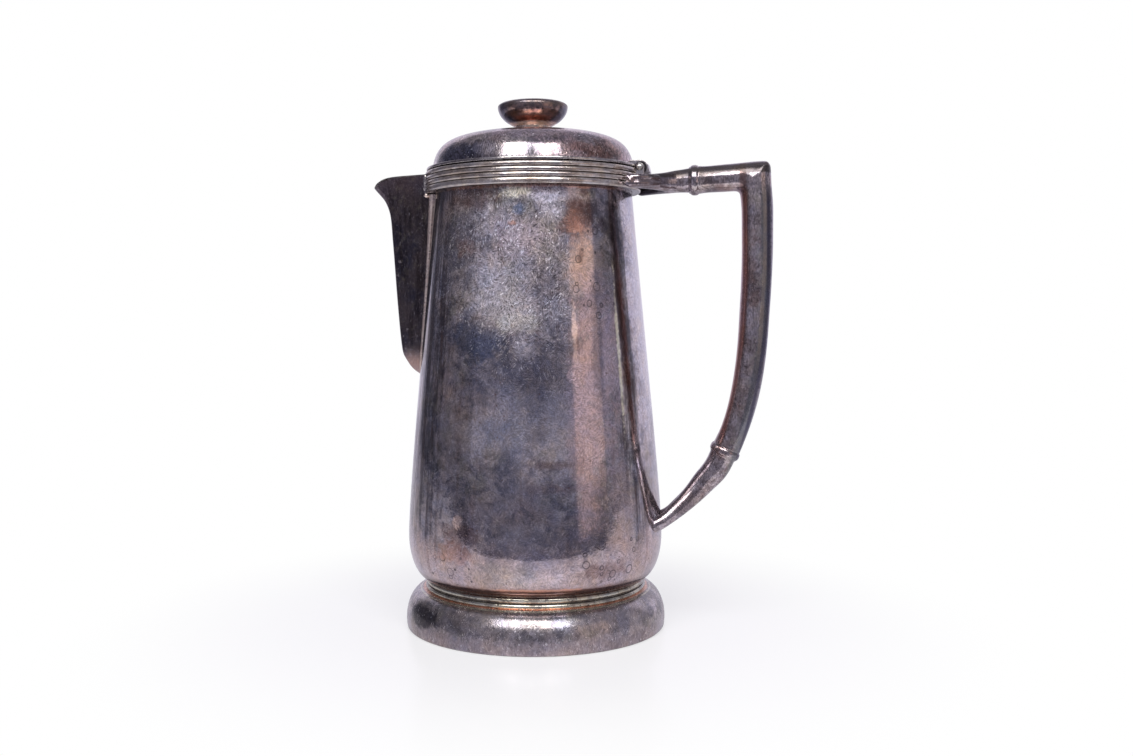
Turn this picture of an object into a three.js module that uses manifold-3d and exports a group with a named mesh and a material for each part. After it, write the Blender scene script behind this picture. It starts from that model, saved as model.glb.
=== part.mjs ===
// A covered water pitcher in silver plate: spun body, foot and lid, a tall V spout,
// a bamboo handle with a fork at each end, and a lid hinged on the handle side.
// Millimetres, +Z up. The handle points along +X and the spout along -X.
import * as THREE from "three";
import { mergeVertices } from "three/addons/utils/BufferGeometryUtils.js";
import Module from "manifold-3d";

const wasm = await Module();
wasm.setup();

// Fits shared by the whole pot
const solderGap = 0.3;
const roundSides = 40;
const tubeSides = 14;
const smallSides = 16;
const knobSides = 24;

// Foot, a spun shell that stands on its turned-in edge
const footHeight = 17.6;
const footRadius = 60.2;
const footBulgeHeight = 3.5;
const footEdgeRadius = 59.5;
const footRestWidth = 3.2;
const footTopRadius = 51.4;
const footWall = 1.6;
const waistBore = 45.5;

// Fine-reeded bead between foot and body
const beadRadius = 51.2;
const beadReedHeight = 1.4;
const beadReedCount = 3;
const beadReedDepth = 0.5;

// Body
const bodyWall = 1.2;
const floorRadius = 49.6;
const bodyRadius = 58.5;
const shoulderRise = 19.7;
const bodyHeight = 188.1;
const neckRadius = 46.3;
const neckHeight = 11;
const sideLean = 4.8;
const sideLeanLength = 60;
const sideStartLength = 20;

// Reeded band round the mouth
const bandGroove = 49.4;
const bandReedDepth = 0.9;
const bandReedHeight = 2.35;
const bandBottomReedHeight = 3;
const bandUpperReeds = 3;

// Spout: drop below the mouth at the nose, stand-off from the wall, half width at the wall, dip at the nose
const spoutWall = 1.2;
const spoutNoseRadius = 3.4;
const spoutBackRadius = 30;
const spoutRingCount = 15;
const spoutOpenRise = 6;
const spoutOpenReach = 4.7;
const spoutNoseLine = [
  [101, -2.5, 3.6, 0],
  [97.5, 0.6, 4.8, 0],
  [93.5, 4.2, 6.6, 0],
  [88.5, 9.2, 8.3, 0],
  [82.5, 12.3, 9.1, 0],
  [65, 15.7, 9.9, 0],
  [31, 21.3, 12.2, 0],
  [19, 23.4, 13, 0.4],
  [13, 25.9, 13.3, 1.6],
  [5.5, 32.1, 13.7, 4.2],
];

// Pierced plate behind the spout
const strainerHalfWidth = 6;
const strainerBottomDrop = 82.5;
const strainerTopDrop = 20.5;
const strainerHoleRadius = 1.4;
const strainerPitch = 4;
const strainerEdge = 2.4;
const strainerHoleSides = 6;

// Bamboo handle
const armRootDrop = 5.1;
const cornerDrop = 4.1;
const cornerReach = 102.9;
const cornerRadius = 6.4;
const armStartRadius = 5.6;
const gripRadius = 6.65;
const gripEndRadius = 5.9;
const gripBendHeight = 172;
const gripBendPull = 30;
const gripEndPull = 28;
const nodeRadius = 6.8;
const nodeWidth = 3.3;
const nodeGroove = 0.7;
const nodeFaceRadius = 5.9;
const upperNodeReach = 75.5;
const lowerNodeReach = 88.4;
const lowerNodeHeight = 81.4;
const lowerNodeLean = THREE.MathUtils.degToRad(27);

// Upper fork
const upperStubRadius = 4.9;
const upperCrotchReach = 61;
const upperProngHeight = 8;
const upperProngThickness = 4.6;
const upperTipThickness = 3.8;
const upperTipHeight = 6;
const upperTipDroop = 2.4;
const upperProngAngle = THREE.MathUtils.degToRad(25);
const upperProngBow = 4;

// Lower fork
const lowerStubRadius = 5.05;
const lowerCrotchReach = 74.8;
const lowerCrotchHeight = 63;
const lowerProngRadius = 2.8;
const lowerTipRadius = 2.5;
const lowerProngFootHeight = 47.5;
const lowerProngAngle = THREE.MathUtils.degToRad(13);

// Lid
const lidSeat = 0.4;
const lidWall = 1;
const flangeRadius = 49.7;
const flangeThickness = 1.4;
const domeBaseRadius = 46.5;
const domeRise = 16.9;
const domeShoulderRise = 11;
const domeShoulderRadius = 38;
const domeFlatRadius = 12;
const bezelClearance = 0.7;
const bezelWall = 1.2;
const bezelDepth = 5;

// Hinge
const hingeStandOff = 0.9;
const hingeRise = 0.4;
const pinRadius = 0.9;
const pinClearance = 0.07;
const pinHeadRadius = 1.5;
const pinHeadHeight = 0.6;
const leafKnuckleRadius = 3.6;
const leafHalfLength = 4.2;
const leafStrapThickness = 1.8;
const tailReach = 4.1;
const tailDrop = 1.8;
const lidOpenAngle = THREE.MathUtils.degToRad(110);
const earRadius = 2.1;
const earWidth = 3.7;
const bracketDepth = 2.5;
const bracketReach = 2.4;

// Knob
const collarHeight = 2.1;
const collarRadius = 7.6;
const knobBottomRadius = 8.7;
const knobRadius = 16.4;
const knobWidestRise = 9.1;
const knobHeight = 11.4;
const knobTopRadius = 9.7;
const knobBoreDepth = 6.5;
const studRadius = 2.2;
const washerRadius = 7;
const washerThickness = 1;
const nutAcrossFlats = 8;
const nutHeight = 3;
const studTail = 1.2;

// Heights and places worked out from the sizes above
const beadBottom = footHeight + solderGap;
const beadTop = beadBottom + beadReedHeight * beadReedCount;
const bodyBottom = beadTop + solderGap;
const mouthHeight = bodyBottom + bodyHeight;
const shoulderTop = bodyBottom + shoulderRise;
const neckBottom = mouthHeight - neckHeight;
const bandHeight = bandBottomReedHeight + bandReedHeight * bandUpperReeds;
const bandBottom = mouthHeight - bandHeight;
const bandRadius = bandGroove + bandReedDepth;
const flangeBottom = mouthHeight + lidSeat;
const flangeTop = flangeBottom + flangeThickness;
const domeBottom = flangeTop + solderGap;
const domeTop = domeBottom + domeRise;
const bezelRadius = neckRadius - bodyWall - bezelClearance;
const bezelBore = bezelRadius - bezelWall;
const bezelTop = flangeBottom - solderGap;
const hingeReach = bandRadius + hingeStandOff;
const hingeHeight = mouthHeight + hingeRise;
const bracketHalfLength = leafHalfLength + solderGap + earWidth;
const notchHalfLength = bracketHalfLength + solderGap;
const tailRadius = Math.hypot(tailReach, tailDrop);
const tailOpenAngle = Math.atan2(tailDrop, tailReach) + lidOpenAngle;
const notchFloor = hingeHeight - tailRadius - solderGap;
const notchInner = hingeReach - leafKnuckleRadius - solderGap;
const pinBore = pinRadius + pinClearance;
const armRootHeight = mouthHeight - armRootDrop;
const cornerHeight = mouthHeight - cornerDrop;
const collarBottom = domeTop + solderGap;
const knobBottom = collarBottom + collarHeight + solderGap;
const knobTop = knobBottom + knobHeight;
const studBore = studRadius + solderGap;
const washerTop = domeTop - lidWall - solderGap;
const nutTop = washerTop - washerThickness - solderGap;
const studBottom = nutTop - nutHeight - studTail;

// Colours read by eye from the tarnished plate
const finishes = {
  plate: { color: "#9a8f93", roughness: 0.3, metalness: 1 },
  darkPlate: { color: "#3d3742", roughness: 0.38, metalness: 1 },
  moulding: { color: "#a29a92", roughness: 0.34, metalness: 1 },
  casting: { color: "#84776f", roughness: 0.36, metalness: 1 },
  copper: { color: "#a4705a", roughness: 0.32, metalness: 1 },
  darkCopper: { color: "#4a2f2a", roughness: 0.34, metalness: 1 },
  steel: { color: "#b3b0ac", roughness: 0.35, metalness: 1 },
};

// Geometry helpers

function turned(profile, sides = roundSides) {
  const points = profile.map(([radius, height]) => new THREE.Vector2(radius, height));
  return new THREE.LatheGeometry(points, sides).rotateX(Math.PI / 2);
}

function ring(profile, sides = roundSides) {
  return turned([...profile, profile[0]], sides);
}

// Points of a smooth outline, as [radius, height] pairs
function smoothOutline(start, startPull, endPull, end, steps) {
  const ends = [start, startPull, endPull, end].map(([x, y]) => new THREE.Vector2(x, y));
  const curve = new THREE.CubicBezierCurve(...ends);
  return curve.getPoints(steps).map((point) => [point.x, point.y]);
}

// A solid skin over rings of points that run anticlockwise about the direction of travel
function loft(rings) {
  const count = rings[0].length;
  const positions = rings.flat().flatMap((point) => [point.x, point.y, point.z]);
  const indices = [];
  for (let row = 0; row < rings.length - 1; row += 1) {
    for (let column = 0; column < count; column += 1) {
      const next = (column + 1) % count;
      const here = row * count;
      const above = here + count;
      indices.push(here + column, here + next, above + next);
      indices.push(here + column, above + next, above + column);
    }
  }
  const lastRow = (rings.length - 1) * count;
  const startCentre = addCentre(positions, rings[0]);
  const endCentre = addCentre(positions, rings[rings.length - 1]);
  for (let column = 0; column < count; column += 1) {
    const next = (column + 1) % count;
    indices.push(startCentre, next, column);
    indices.push(endCentre, lastRow + column, lastRow + next);
  }
  const geometry = new THREE.BufferGeometry();
  geometry.setAttribute("position", new THREE.Float32BufferAttribute(positions, 3));
  geometry.setIndex(indices);
  return geometry;
}

function addCentre(positions, points) {
  const centre = new THREE.Vector3();
  points.forEach((point) => centre.add(point));
  centre.divideScalar(points.length);
  positions.push(centre.x, centre.y, centre.z);
  return positions.length / 3 - 1;
}

// A round or oval bar along one or more curves; halfSize gives its half width and half height
function bar(curves, stepsPerCurve, across, halfSize) {
  const rings = [];
  curves.forEach((curve, index) => {
    for (let step = index === 0 ? 0 : 1; step <= stepsPerCurve; step += 1) {
      const share = step / stepsPerCurve;
      const centre = curve.getPoint(share);
      const along = curve.getTangent(share);
      const side = new THREE.Vector3().crossVectors(across, along).normalize();
      const up = new THREE.Vector3().crossVectors(along, side);
      rings.push(ovalRing(centre, side, up, halfSize((index + share) / curves.length)));
    }
  });
  return loft(rings);
}

function ovalRing(centre, side, up, [halfWidth, halfHeight]) {
  const points = [];
  for (let corner = 0; corner < tubeSides; corner += 1) {
    const angle = (corner / tubeSides) * Math.PI * 2;
    const point = centre.clone();
    point.addScaledVector(side, Math.cos(angle) * halfWidth);
    point.addScaledVector(up, Math.sin(angle) * halfHeight);
    points.push(point);
  }
  return points;
}

const mix = THREE.MathUtils.lerp;
const acrossY = new THREE.Vector3(0, 1, 0);
const acrossZ = new THREE.Vector3(0, 0, 1);

function solid(geometry) {
  const bare = geometry.clone();
  bare.deleteAttribute("normal");
  bare.deleteAttribute("uv");
  const merged = mergeVertices(bare, 1e-4);
  const corners = merged.index.array;
  const kept = [];
  for (let start = 0; start < corners.length; start += 3) {
    const [a, b, c] = corners.slice(start, start + 3);
    if (a !== b && b !== c && c !== a) {
      kept.push(a, b, c);
    }
  }
  return new wasm.Manifold(new wasm.Mesh({
    numProp: 3,
    vertProperties: merged.attributes.position.array,
    triVerts: new Uint32Array(kept),
  }));
}

function piece(name, shape, finish) {
  const mesh = shape.getMesh();
  const geometry = new THREE.BufferGeometry();
  geometry.setAttribute("position", new THREE.Float32BufferAttribute(mesh.vertProperties, 3));
  geometry.setIndex(Array.from(mesh.triVerts));
  geometry.computeVertexNormals();
  const made = new THREE.Mesh(geometry, new THREE.MeshStandardMaterial(finishes[finish]));
  made.name = name;
  return made;
}

// Outline of the body's outer surface from its floor edge to its mouth
function bodyOutline(inset) {
  const shoulder = [];
  const shoulderSteps = 5;
  for (let step = 0; step <= shoulderSteps; step += 1) {
    const angle = (step / shoulderSteps) * (Math.PI / 2);
    const reach = (bodyRadius - floorRadius - inset) * Math.sin(angle);
    const rise = (shoulderRise - inset) * Math.cos(angle);
    shoulder.push([floorRadius + reach, shoulderTop - rise]);
  }
  const side = smoothOutline(
    [bodyRadius - inset, shoulderTop],
    [bodyRadius - inset, shoulderTop + sideStartLength],
    [neckRadius - inset + sideLean, neckBottom - sideLeanLength],
    [neckRadius - inset, neckBottom],
    6,
  );
  return [...shoulder, ...side.slice(1), [neckRadius - inset, mouthHeight]];
}

const bodySurface = bodyOutline(0);

function bodyRadiusAt(height) {
  for (let index = 1; index < bodySurface.length; index += 1) {
    const [lowRadius, low] = bodySurface[index - 1];
    const [highRadius, high] = bodySurface[index];
    if (height <= high) {
      const share = THREE.MathUtils.clamp((height - low) / (high - low), 0, 1);
      return mix(lowRadius, highRadius, share);
    }
  }
  return neckRadius;
}

// The space that the body takes, with its solder gap, for cutting what is soldered to it
function bodySpace() {
  const outline = bodySurface.map(([radius, height]) => [radius + solderGap, height]);
  const above = mouthHeight + cornerDrop * 2;
  return solid(turned([[0, bodyBottom], ...outline, [neckRadius + solderGap, above], [0, above]]));
}

// Half-round reeds stacked up a straight bore
function reedProfile(bore, groove, depth, bottom, heights) {
  const outside = [];
  let base = bottom;
  heights.forEach((height) => {
    outside.push([groove, base], [groove + depth, base + height * 0.3]);
    outside.push([groove + depth, base + height * 0.7]);
    base += height;
  });
  return [[bore, bottom], ...outside, [groove, base], [bore, base]];
}

function makeBodyBlank() {
  const inside = bodyOutline(bodyWall).reverse();
  const profile = [[0, bodyBottom], ...bodySurface, ...inside, [0, bodyBottom + bodyWall]];
  return solid(turned(profile));
}

// Round-ended plug through the wall behind the spout; grow makes it larger all round
function strainerPlug(grow) {
  const halfWidth = strainerHalfWidth + grow;
  const low = mouthHeight - strainerBottomDrop + strainerHalfWidth;
  const high = mouthHeight - strainerTopDrop - strainerHalfWidth;
  const outline = new THREE.Shape();
  outline.absarc(0, high, halfWidth, 0, Math.PI, false);
  outline.absarc(0, low, halfWidth, Math.PI, Math.PI * 2, false);
  const plug = new THREE.ExtrudeGeometry(outline, {
    depth: bodyRadius,
    bevelEnabled: false,
    curveSegments: 6,
  });
  const turn = new THREE.Matrix4().makeBasis(acrossY, acrossZ, new THREE.Vector3(1, 0, 0));
  plug.applyMatrix4(turn).translate(-bodyRadius - bodyWall, 0, 0);
  return solid(plug);
}

function makeBody(blank) {
  return blank.subtract(strainerPlug(0));
}

function makeStrainer(blank) {
  let plate = blank.intersect(strainerPlug(-solderGap));
  const reach = strainerHalfWidth - strainerEdge;
  const low = mouthHeight - strainerBottomDrop + strainerEdge;
  const high = mouthHeight - strainerTopDrop - strainerEdge;
  const rows = Math.floor((high - low) / strainerPitch);
  const start = (low + high - rows * strainerPitch) / 2;
  for (let row = 0; row <= rows; row += 1) {
    const endRow = row === 0 || row === rows;
    const places = row % 2 === 0 ? [-1, 0, 1] : [-0.5, 0.5];
    const used = endRow ? [0] : places;
    used.forEach((place) => {
      const hole = new THREE.CylinderGeometry(
        strainerHoleRadius,
        strainerHoleRadius,
        bodyRadius,
        strainerHoleSides,
      );
      hole.rotateZ(Math.PI / 2);
      hole.translate(-bodyRadius, place * reach, start + row * strainerPitch);
      plate = plate.subtract(solid(hole));
    });
  }
  return plate;
}

function makeFoot() {
  const outer = (inset) => smoothOutline(
    [footRadius - inset, footBulgeHeight],
    [footRadius - 0.4 - inset, footBulgeHeight + 6],
    [footTopRadius + 4.1 - inset, footHeight - 0.6 - inset],
    [footTopRadius - inset, footHeight - inset],
    5,
  );
  const restInner = footEdgeRadius - footRestWidth;
  return solid(ring([
    [restInner, 0],
    [footEdgeRadius, 0],
    ...outer(0),
    [waistBore, footHeight],
    [waistBore, footHeight - footWall],
    ...outer(footWall).reverse(),
    [footEdgeRadius - footWall, footWall],
    [restInner, footWall],
  ]));
}

function makeBead() {
  const heights = Array(beadReedCount).fill(beadReedHeight);
  const groove = beadRadius - beadReedDepth;
  return solid(ring(reedProfile(waistBore, groove, beadReedDepth, beadBottom, heights)));
}

function makeBand(spoutSpace) {
  const heights = [bandBottomReedHeight, ...Array(bandUpperReeds).fill(bandReedHeight)];
  const bore = neckRadius + solderGap;
  const band = solid(ring(reedProfile(bore, bandGroove, bandReedDepth, bandBottom, heights)));
  return band.subtract(spoutSpace).subtract(hingeNotch());
}

// Space for the knuckles, cut from the band below and the flange above. A step at its inner
// edge stops the leaf's tail when the lid is fully open.
function hingeNotch() {
  const stopReach = solderGap / 2 - tailRadius * Math.cos(tailOpenAngle);
  const tailDepth = tailRadius * Math.sin(tailOpenAngle);
  const kneeDepth = Math.sqrt((leafKnuckleRadius + solderGap) ** 2 - stopReach ** 2);
  const stepTop = hingeHeight - (tailDepth + kneeDepth) / 2;
  const upper = notchBlock(notchInner, stepTop);
  return upper.add(notchBlock(hingeReach - stopReach, notchFloor));
}

function notchBlock(inner, bottom) {
  const depth = bandRadius;
  const height = flangeTop + lidSeat - bottom;
  const block = new THREE.BoxGeometry(depth, notchHalfLength * 2, height);
  return solid(block.translate(inner + depth / 2, 0, bottom + height / 2));
}

// One V-shaped ring of the spout; grow moves its whole outline outward
function spoutRing(station, grow) {
  const [drop, standOff, halfWidth, dip] = station;
  const height = mouthHeight - drop;
  const wall = bodyRadiusAt(height);
  const wallReach = Math.sqrt(wall * wall - halfWidth * halfWidth);
  const flat = wall + standOff - spoutNoseRadius - wallReach;
  const slope = Math.acos(spoutNoseRadius / Math.hypot(halfWidth, flat)) - Math.atan2(flat, halfWidth);
  const noseCentre = wallReach + flat;
  const tip = noseCentre + spoutNoseRadius;
  const half = [[spoutBackRadius, halfWidth + grow * Math.cos(slope)]];
  const startX = wallReach + grow * Math.sin(slope);
  const startY = halfWidth + grow * Math.cos(slope);
  const radius = spoutNoseRadius + grow;
  const endX = noseCentre + radius * Math.sin(slope);
  const endY = radius * Math.cos(slope);
  [0, 0.4, 0.75].forEach((share) => {
    half.push([mix(startX, endX, share), mix(startY, endY, share)]);
  });
  [1, 0.66, 0.33].forEach((share) => {
    const angle = (Math.PI / 2 - slope) * share;
    half.push([noseCentre + radius * Math.cos(angle), radius * Math.sin(angle)]);
  });
  const outline = [...half, [noseCentre + radius, 0], ...half.map(([x, y]) => [x, -y]).reverse()];
  return outline.map(([x, y]) => {
    const share = THREE.MathUtils.clamp((x - wallReach) / (tip - wallReach), 0, 1);
    return new THREE.Vector3(-x, y, height + dip * (1 - share ** 4));
  });
}

function spoutRings(grow, openTop) {
  const bottom = spoutNoseLine.map(([drop, standOff]) => new THREE.Vector3(drop, standOff, 0));
  const width = spoutNoseLine.map(([drop, , halfWidth, dip]) => new THREE.Vector3(drop, halfWidth, dip));
  const noseCurve = new THREE.CatmullRomCurve3(bottom, false, "centripetal");
  const widthCurve = new THREE.CatmullRomCurve3(width, false, "centripetal");
  const rings = [];
  for (let step = 0; step < spoutRingCount; step += 1) {
    const share = step / (spoutRingCount - 1);
    const nose = noseCurve.getPoint(share);
    const sides = widthCurve.getPoint(share);
    rings.push(spoutRing([nose.x, nose.y, sides.y, sides.z], grow));
  }
  if (openTop) {
    const [drop, standOff, halfWidth, dip] = spoutNoseLine[spoutNoseLine.length - 1];
    rings.push(spoutRing([drop - spoutOpenRise, standOff + spoutOpenReach, halfWidth, dip], grow));
  }
  return rings;
}

function makeSpout() {
  const outside = solid(loft(spoutRings(0, false)));
  const channel = solid(loft(spoutRings(-spoutWall, true)));
  return outside.subtract(channel).subtract(bodySpace());
}

// Handle

function point(reach, height, side = 0) {
  return new THREE.Vector3(reach, side, height);
}

const lowerNodeRun = point(-Math.sin(lowerNodeLean), -Math.cos(lowerNodeLean));
const nodeHalfSeat = nodeWidth / 2 + solderGap;

function makeNode(centre, lean) {
  const half = nodeWidth / 2;
  const profile = [
    [0, -half],
    [nodeFaceRadius, -half],
    [nodeRadius - 0.15, -half * 0.75],
    [nodeRadius, -half * 0.45],
    [nodeRadius - nodeGroove, 0],
    [nodeRadius, half * 0.45],
    [nodeRadius - 0.15, half * 0.75],
    [nodeFaceRadius, half],
    [0, half],
  ];
  const node = turned(profile, tubeSides + 8).rotateY(lean);
  return solid(node.translate(centre.x, centre.y, centre.z));
}

// Block on one side of the mitre plane at the handle's corner
function mitreBlock(side) {
  const size = cornerReach / 2;
  const block = new THREE.BoxGeometry(size, size, size);
  block.translate(side * (size / 2 - solderGap / 2), 0, 0);
  block.rotateY(Math.PI / 4);
  block.translate(cornerReach, 0, cornerHeight);
  return solid(block);
}

function armHeightAt(reach) {
  const share = (reach - upperCrotchReach) / (cornerReach - upperCrotchReach);
  return mix(armRootHeight, cornerHeight, share);
}

function makeArm() {
  const start = upperNodeReach + nodeHalfSeat;
  const end = cornerReach + cornerRadius * 1.5;
  const line = new THREE.LineCurve3(point(start, armHeightAt(start)), point(end, cornerHeight));
  const arm = bar([line], 4, acrossY, (share) => {
    const radius = mix(armStartRadius, cornerRadius, Math.min(1, share * 1.6));
    return [radius, radius];
  });
  return solid(arm).subtract(mitreBlock(1));
}

function makeGrip() {
  const top = point(cornerReach, cornerHeight + cornerRadius * 1.5);
  const bend = point(cornerReach, gripBendHeight);
  const nodeCentre = point(lowerNodeReach, lowerNodeHeight);
  const end = nodeCentre.clone().addScaledVector(lowerNodeRun, -nodeHalfSeat);
  const straight = new THREE.LineCurve3(top, bend);
  const curved = new THREE.CubicBezierCurve3(
    bend,
    point(cornerReach, gripBendHeight - gripBendPull),
    end.clone().addScaledVector(lowerNodeRun, -gripEndPull),
    end,
  );
  const grip = bar([straight, curved], 8, acrossY, (share) => {
    const radius = share < 0.5
      ? mix(cornerRadius, gripRadius, share * 2)
      : mix(gripRadius, gripEndRadius, share * 2 - 1);
    return [radius, radius];
  });
  return solid(grip).subtract(mitreBlock(-1));
}

function makeUpperFork() {
  const start = upperNodeReach - nodeHalfSeat;
  const stubLine = new THREE.LineCurve3(
    point(start, armHeightAt(start)),
    point(upperCrotchReach, armRootHeight),
  );
  const stub = bar([stubLine], 4, acrossZ, (share) => [
    mix(upperStubRadius, upperProngThickness, share),
    mix(upperStubRadius, upperProngHeight / 2, share),
  ]);
  let fork = solid(stub);
  const tipReach = bandRadius + upperTipThickness / 2;
  const tipSide = tipReach * Math.sin(upperProngAngle);
  const rootReach = upperCrotchReach + upperProngHeight * 0.6;
  [-1, 1].forEach((side) => {
    const prongLine = new THREE.CubicBezierCurve3(
      point(rootReach, armRootHeight, side),
      point(upperCrotchReach + 1, armRootHeight, side * upperProngThickness / 2),
      point(tipReach + upperProngBow, armRootHeight - upperTipDroop / 2, side * tipSide * 0.66),
      point(tipReach * Math.cos(upperProngAngle), armRootHeight - upperTipDroop, side * tipSide),
    );
    const prong = bar([prongLine], 8, acrossZ, (share) => {
      const rounding = Math.sqrt(1 - 0.7 * share ** 6) / 2;
      return [
        mix(upperProngThickness, upperTipThickness, share) * rounding,
        mix(upperProngHeight, upperTipHeight, share) * rounding,
      ];
    });
    fork = fork.add(solid(prong));
  });
  return fork.subtract(bandSpace(bandBottom - upperProngHeight, flangeTop));
}

// The space of the band with its solder gap, between two heights
function bandSpace(bottom, top) {
  const radius = bandRadius + solderGap;
  return solid(turned([[0, bottom], [radius, bottom], [radius, top], [0, top]]));
}

function makeLowerFork() {
  const nodeCentre = point(lowerNodeReach, lowerNodeHeight);
  const start = nodeCentre.clone().addScaledVector(lowerNodeRun, nodeHalfSeat);
  const crotch = point(lowerCrotchReach, lowerCrotchHeight);
  const diagonal = point(-Math.SQRT1_2, -Math.SQRT1_2);
  const stubCurve = new THREE.CubicBezierCurve3(
    start,
    start.clone().addScaledVector(lowerNodeRun, lowerStubRadius * 1.6),
    crotch.clone().addScaledVector(diagonal, -lowerStubRadius * 1.2),
    crotch,
  );
  const stub = bar([stubCurve], 6, acrossY, (share) => [
    mix(lowerStubRadius, lowerProngRadius * 1.1, share),
    mix(lowerStubRadius, lowerProngRadius * 1.7, share),
  ]);
  let fork = solid(stub);
  const footRadiusOnBody = bodyRadiusAt(lowerProngFootHeight) - lowerTipRadius;
  const footReach = footRadiusOnBody * Math.cos(lowerProngAngle);
  const footSide = footRadiusOnBody * Math.sin(lowerProngAngle);
  [-1, 1].forEach((side) => {
    const prongCurve = new THREE.CubicBezierCurve3(
      crotch.clone().addScaledVector(diagonal, -lowerStubRadius).setY(side * lowerProngRadius * 0.4),
      crotch.clone().addScaledVector(diagonal, lowerStubRadius * 0.6).setY(side * lowerProngRadius),
      point(mix(lowerCrotchReach, footReach, 0.5), mix(lowerCrotchHeight, lowerProngFootHeight, 0.62),
        side * footSide * 0.8),
      point(footReach, lowerProngFootHeight, side * footSide),
    );
    const prong = bar([prongCurve], 8, acrossY, (share) => {
      const radius = mix(lowerProngRadius, lowerTipRadius, share);
      return [radius, radius];
    });
    fork = fork.add(solid(prong));
  });
  return fork.subtract(bodySpace());
}

// Hinge

// Extrudes an outline drawn in the plane of the handle, with the pin's axis at its origin
function hingeBlock(outline, from, to) {
  const block = new THREE.ExtrudeGeometry(outline, {
    depth: to - from,
    bevelEnabled: false,
    curveSegments: smallSides,
  });
  block.rotateX(Math.PI / 2);
  return solid(block.translate(hingeReach, to, hingeHeight));
}

function pinHole() {
  const hole = new THREE.CylinderGeometry(pinBore, pinBore, notchHalfLength * 3, smallSides);
  return solid(hole.translate(hingeReach, 0, hingeHeight));
}

function makeBracket() {
  const bottom = bracketTop() - bracketDepth;
  const ear = new THREE.Shape();
  ear.moveTo(-earRadius, bottom);
  ear.lineTo(earRadius, bottom);
  ear.lineTo(earRadius, 0);
  ear.absarc(0, 0, earRadius, 0, Math.PI, false);
  const base = new THREE.Shape();
  base.moveTo(-hingeStandOff, bottom);
  base.lineTo(bracketReach, bottom);
  base.lineTo(bracketReach, bracketTop());
  base.lineTo(-hingeStandOff, bracketTop());
  const inner = leafHalfLength + solderGap;
  let bracket = hingeBlock(base, -bracketHalfLength, bracketHalfLength);
  bracket = bracket.add(hingeBlock(ear, inner, bracketHalfLength));
  bracket = bracket.add(hingeBlock(ear, -bracketHalfLength, -inner));
  return bracket.subtract(bandSpace(bandBottom, notchFloor + solderGap)).subtract(pinHole());
}

// Top of the bracket's base below the pin, clear of the leaf's tail
function bracketTop() {
  return notchFloor - hingeHeight - solderGap / 2;
}

function makePin() {
  const half = bracketHalfLength + solderGap;
  const headTop = half + pinHeadHeight;
  const profile = [
    [0, -headTop],
    [pinHeadRadius * 0.6, -headTop],
    [pinHeadRadius, -half - pinHeadHeight * 0.4],
    [pinHeadRadius, -half],
    [pinRadius, -half],
    [pinRadius, half],
    [pinHeadRadius, half],
    [pinHeadRadius, half + pinHeadHeight * 0.4],
    [pinHeadRadius * 0.6, headTop],
    [0, headTop],
  ];
  const points = profile.map(([radius, height]) => new THREE.Vector2(radius, height));
  const pin = new THREE.LatheGeometry(points, smallSides);
  return solid(pin.translate(hingeReach, 0, hingeHeight));
}

function makeLeaf() {
  const strapTop = leafKnuckleRadius;
  const strapBottom = strapTop - leafStrapThickness;
  const strapAngle = Math.PI - Math.asin(strapBottom / leafKnuckleRadius);
  const tailAngle = Math.atan2(-tailDrop, tailReach);
  const spread = Math.acos(leafKnuckleRadius / Math.hypot(tailReach, tailDrop));
  const strapReach = hingeReach - domeShoulderRadius;
  const outline = new THREE.Shape();
  outline.moveTo(0, strapTop);
  outline.lineTo(-strapReach, strapTop);
  outline.lineTo(-strapReach, strapBottom);
  outline.absarc(0, 0, leafKnuckleRadius, strapAngle, tailAngle - spread + Math.PI * 2, false);
  outline.lineTo(tailReach, -tailDrop);
  outline.absarc(0, 0, leafKnuckleRadius, tailAngle + spread, Math.PI / 2, false);
  const leaf = hingeBlock(outline, -leafHalfLength, leafHalfLength);
  return leaf.subtract(pinHole()).subtract(domeSpace());
}

// Lid

function domeOutline(inset) {
  return smoothOutline(
    [domeBaseRadius - inset, domeBottom],
    [domeBaseRadius - inset, domeBottom + domeShoulderRise - inset],
    [domeShoulderRadius - inset, domeTop + 0.4 - inset],
    [domeFlatRadius, domeTop - inset],
    6,
  );
}

// The dome's outside with its solder gap, carried down past the flange
function domeSpace() {
  const outline = domeOutline(-solderGap);
  const radius = domeBaseRadius + solderGap;
  return solid(turned([[0, flangeBottom], [radius, flangeBottom], ...outline, [0, domeTop + solderGap]]));
}

function makeDome() {
  return solid(ring([
    ...domeOutline(0),
    [studBore, domeTop],
    [studBore, domeTop - lidWall],
    ...domeOutline(lidWall).reverse(),
  ]));
}

function makeFlange() {
  const edge = flangeThickness * 0.35;
  const flange = solid(ring([
    [bezelBore, flangeBottom],
    [flangeRadius - edge, flangeBottom],
    [flangeRadius, flangeBottom + edge],
    [flangeRadius, flangeTop - edge],
    [flangeRadius - edge, flangeTop],
    [bezelBore, flangeTop],
  ]));
  return flange.subtract(hingeNotch());
}

function makeBezel() {
  const bottom = bezelTop - bezelDepth;
  return solid(ring([
    [bezelBore, bottom],
    [bezelRadius, bottom],
    [bezelRadius, bezelTop],
    [bezelBore, bezelTop],
  ]));
}

// Knob

function makeCollar() {
  const top = collarBottom + collarHeight;
  return solid(ring([
    [studBore, collarBottom],
    [collarRadius, collarBottom],
    [collarRadius - 0.5, (collarBottom + top) / 2],
    [collarRadius, top],
    [studBore, top],
  ], smallSides));
}

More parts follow.
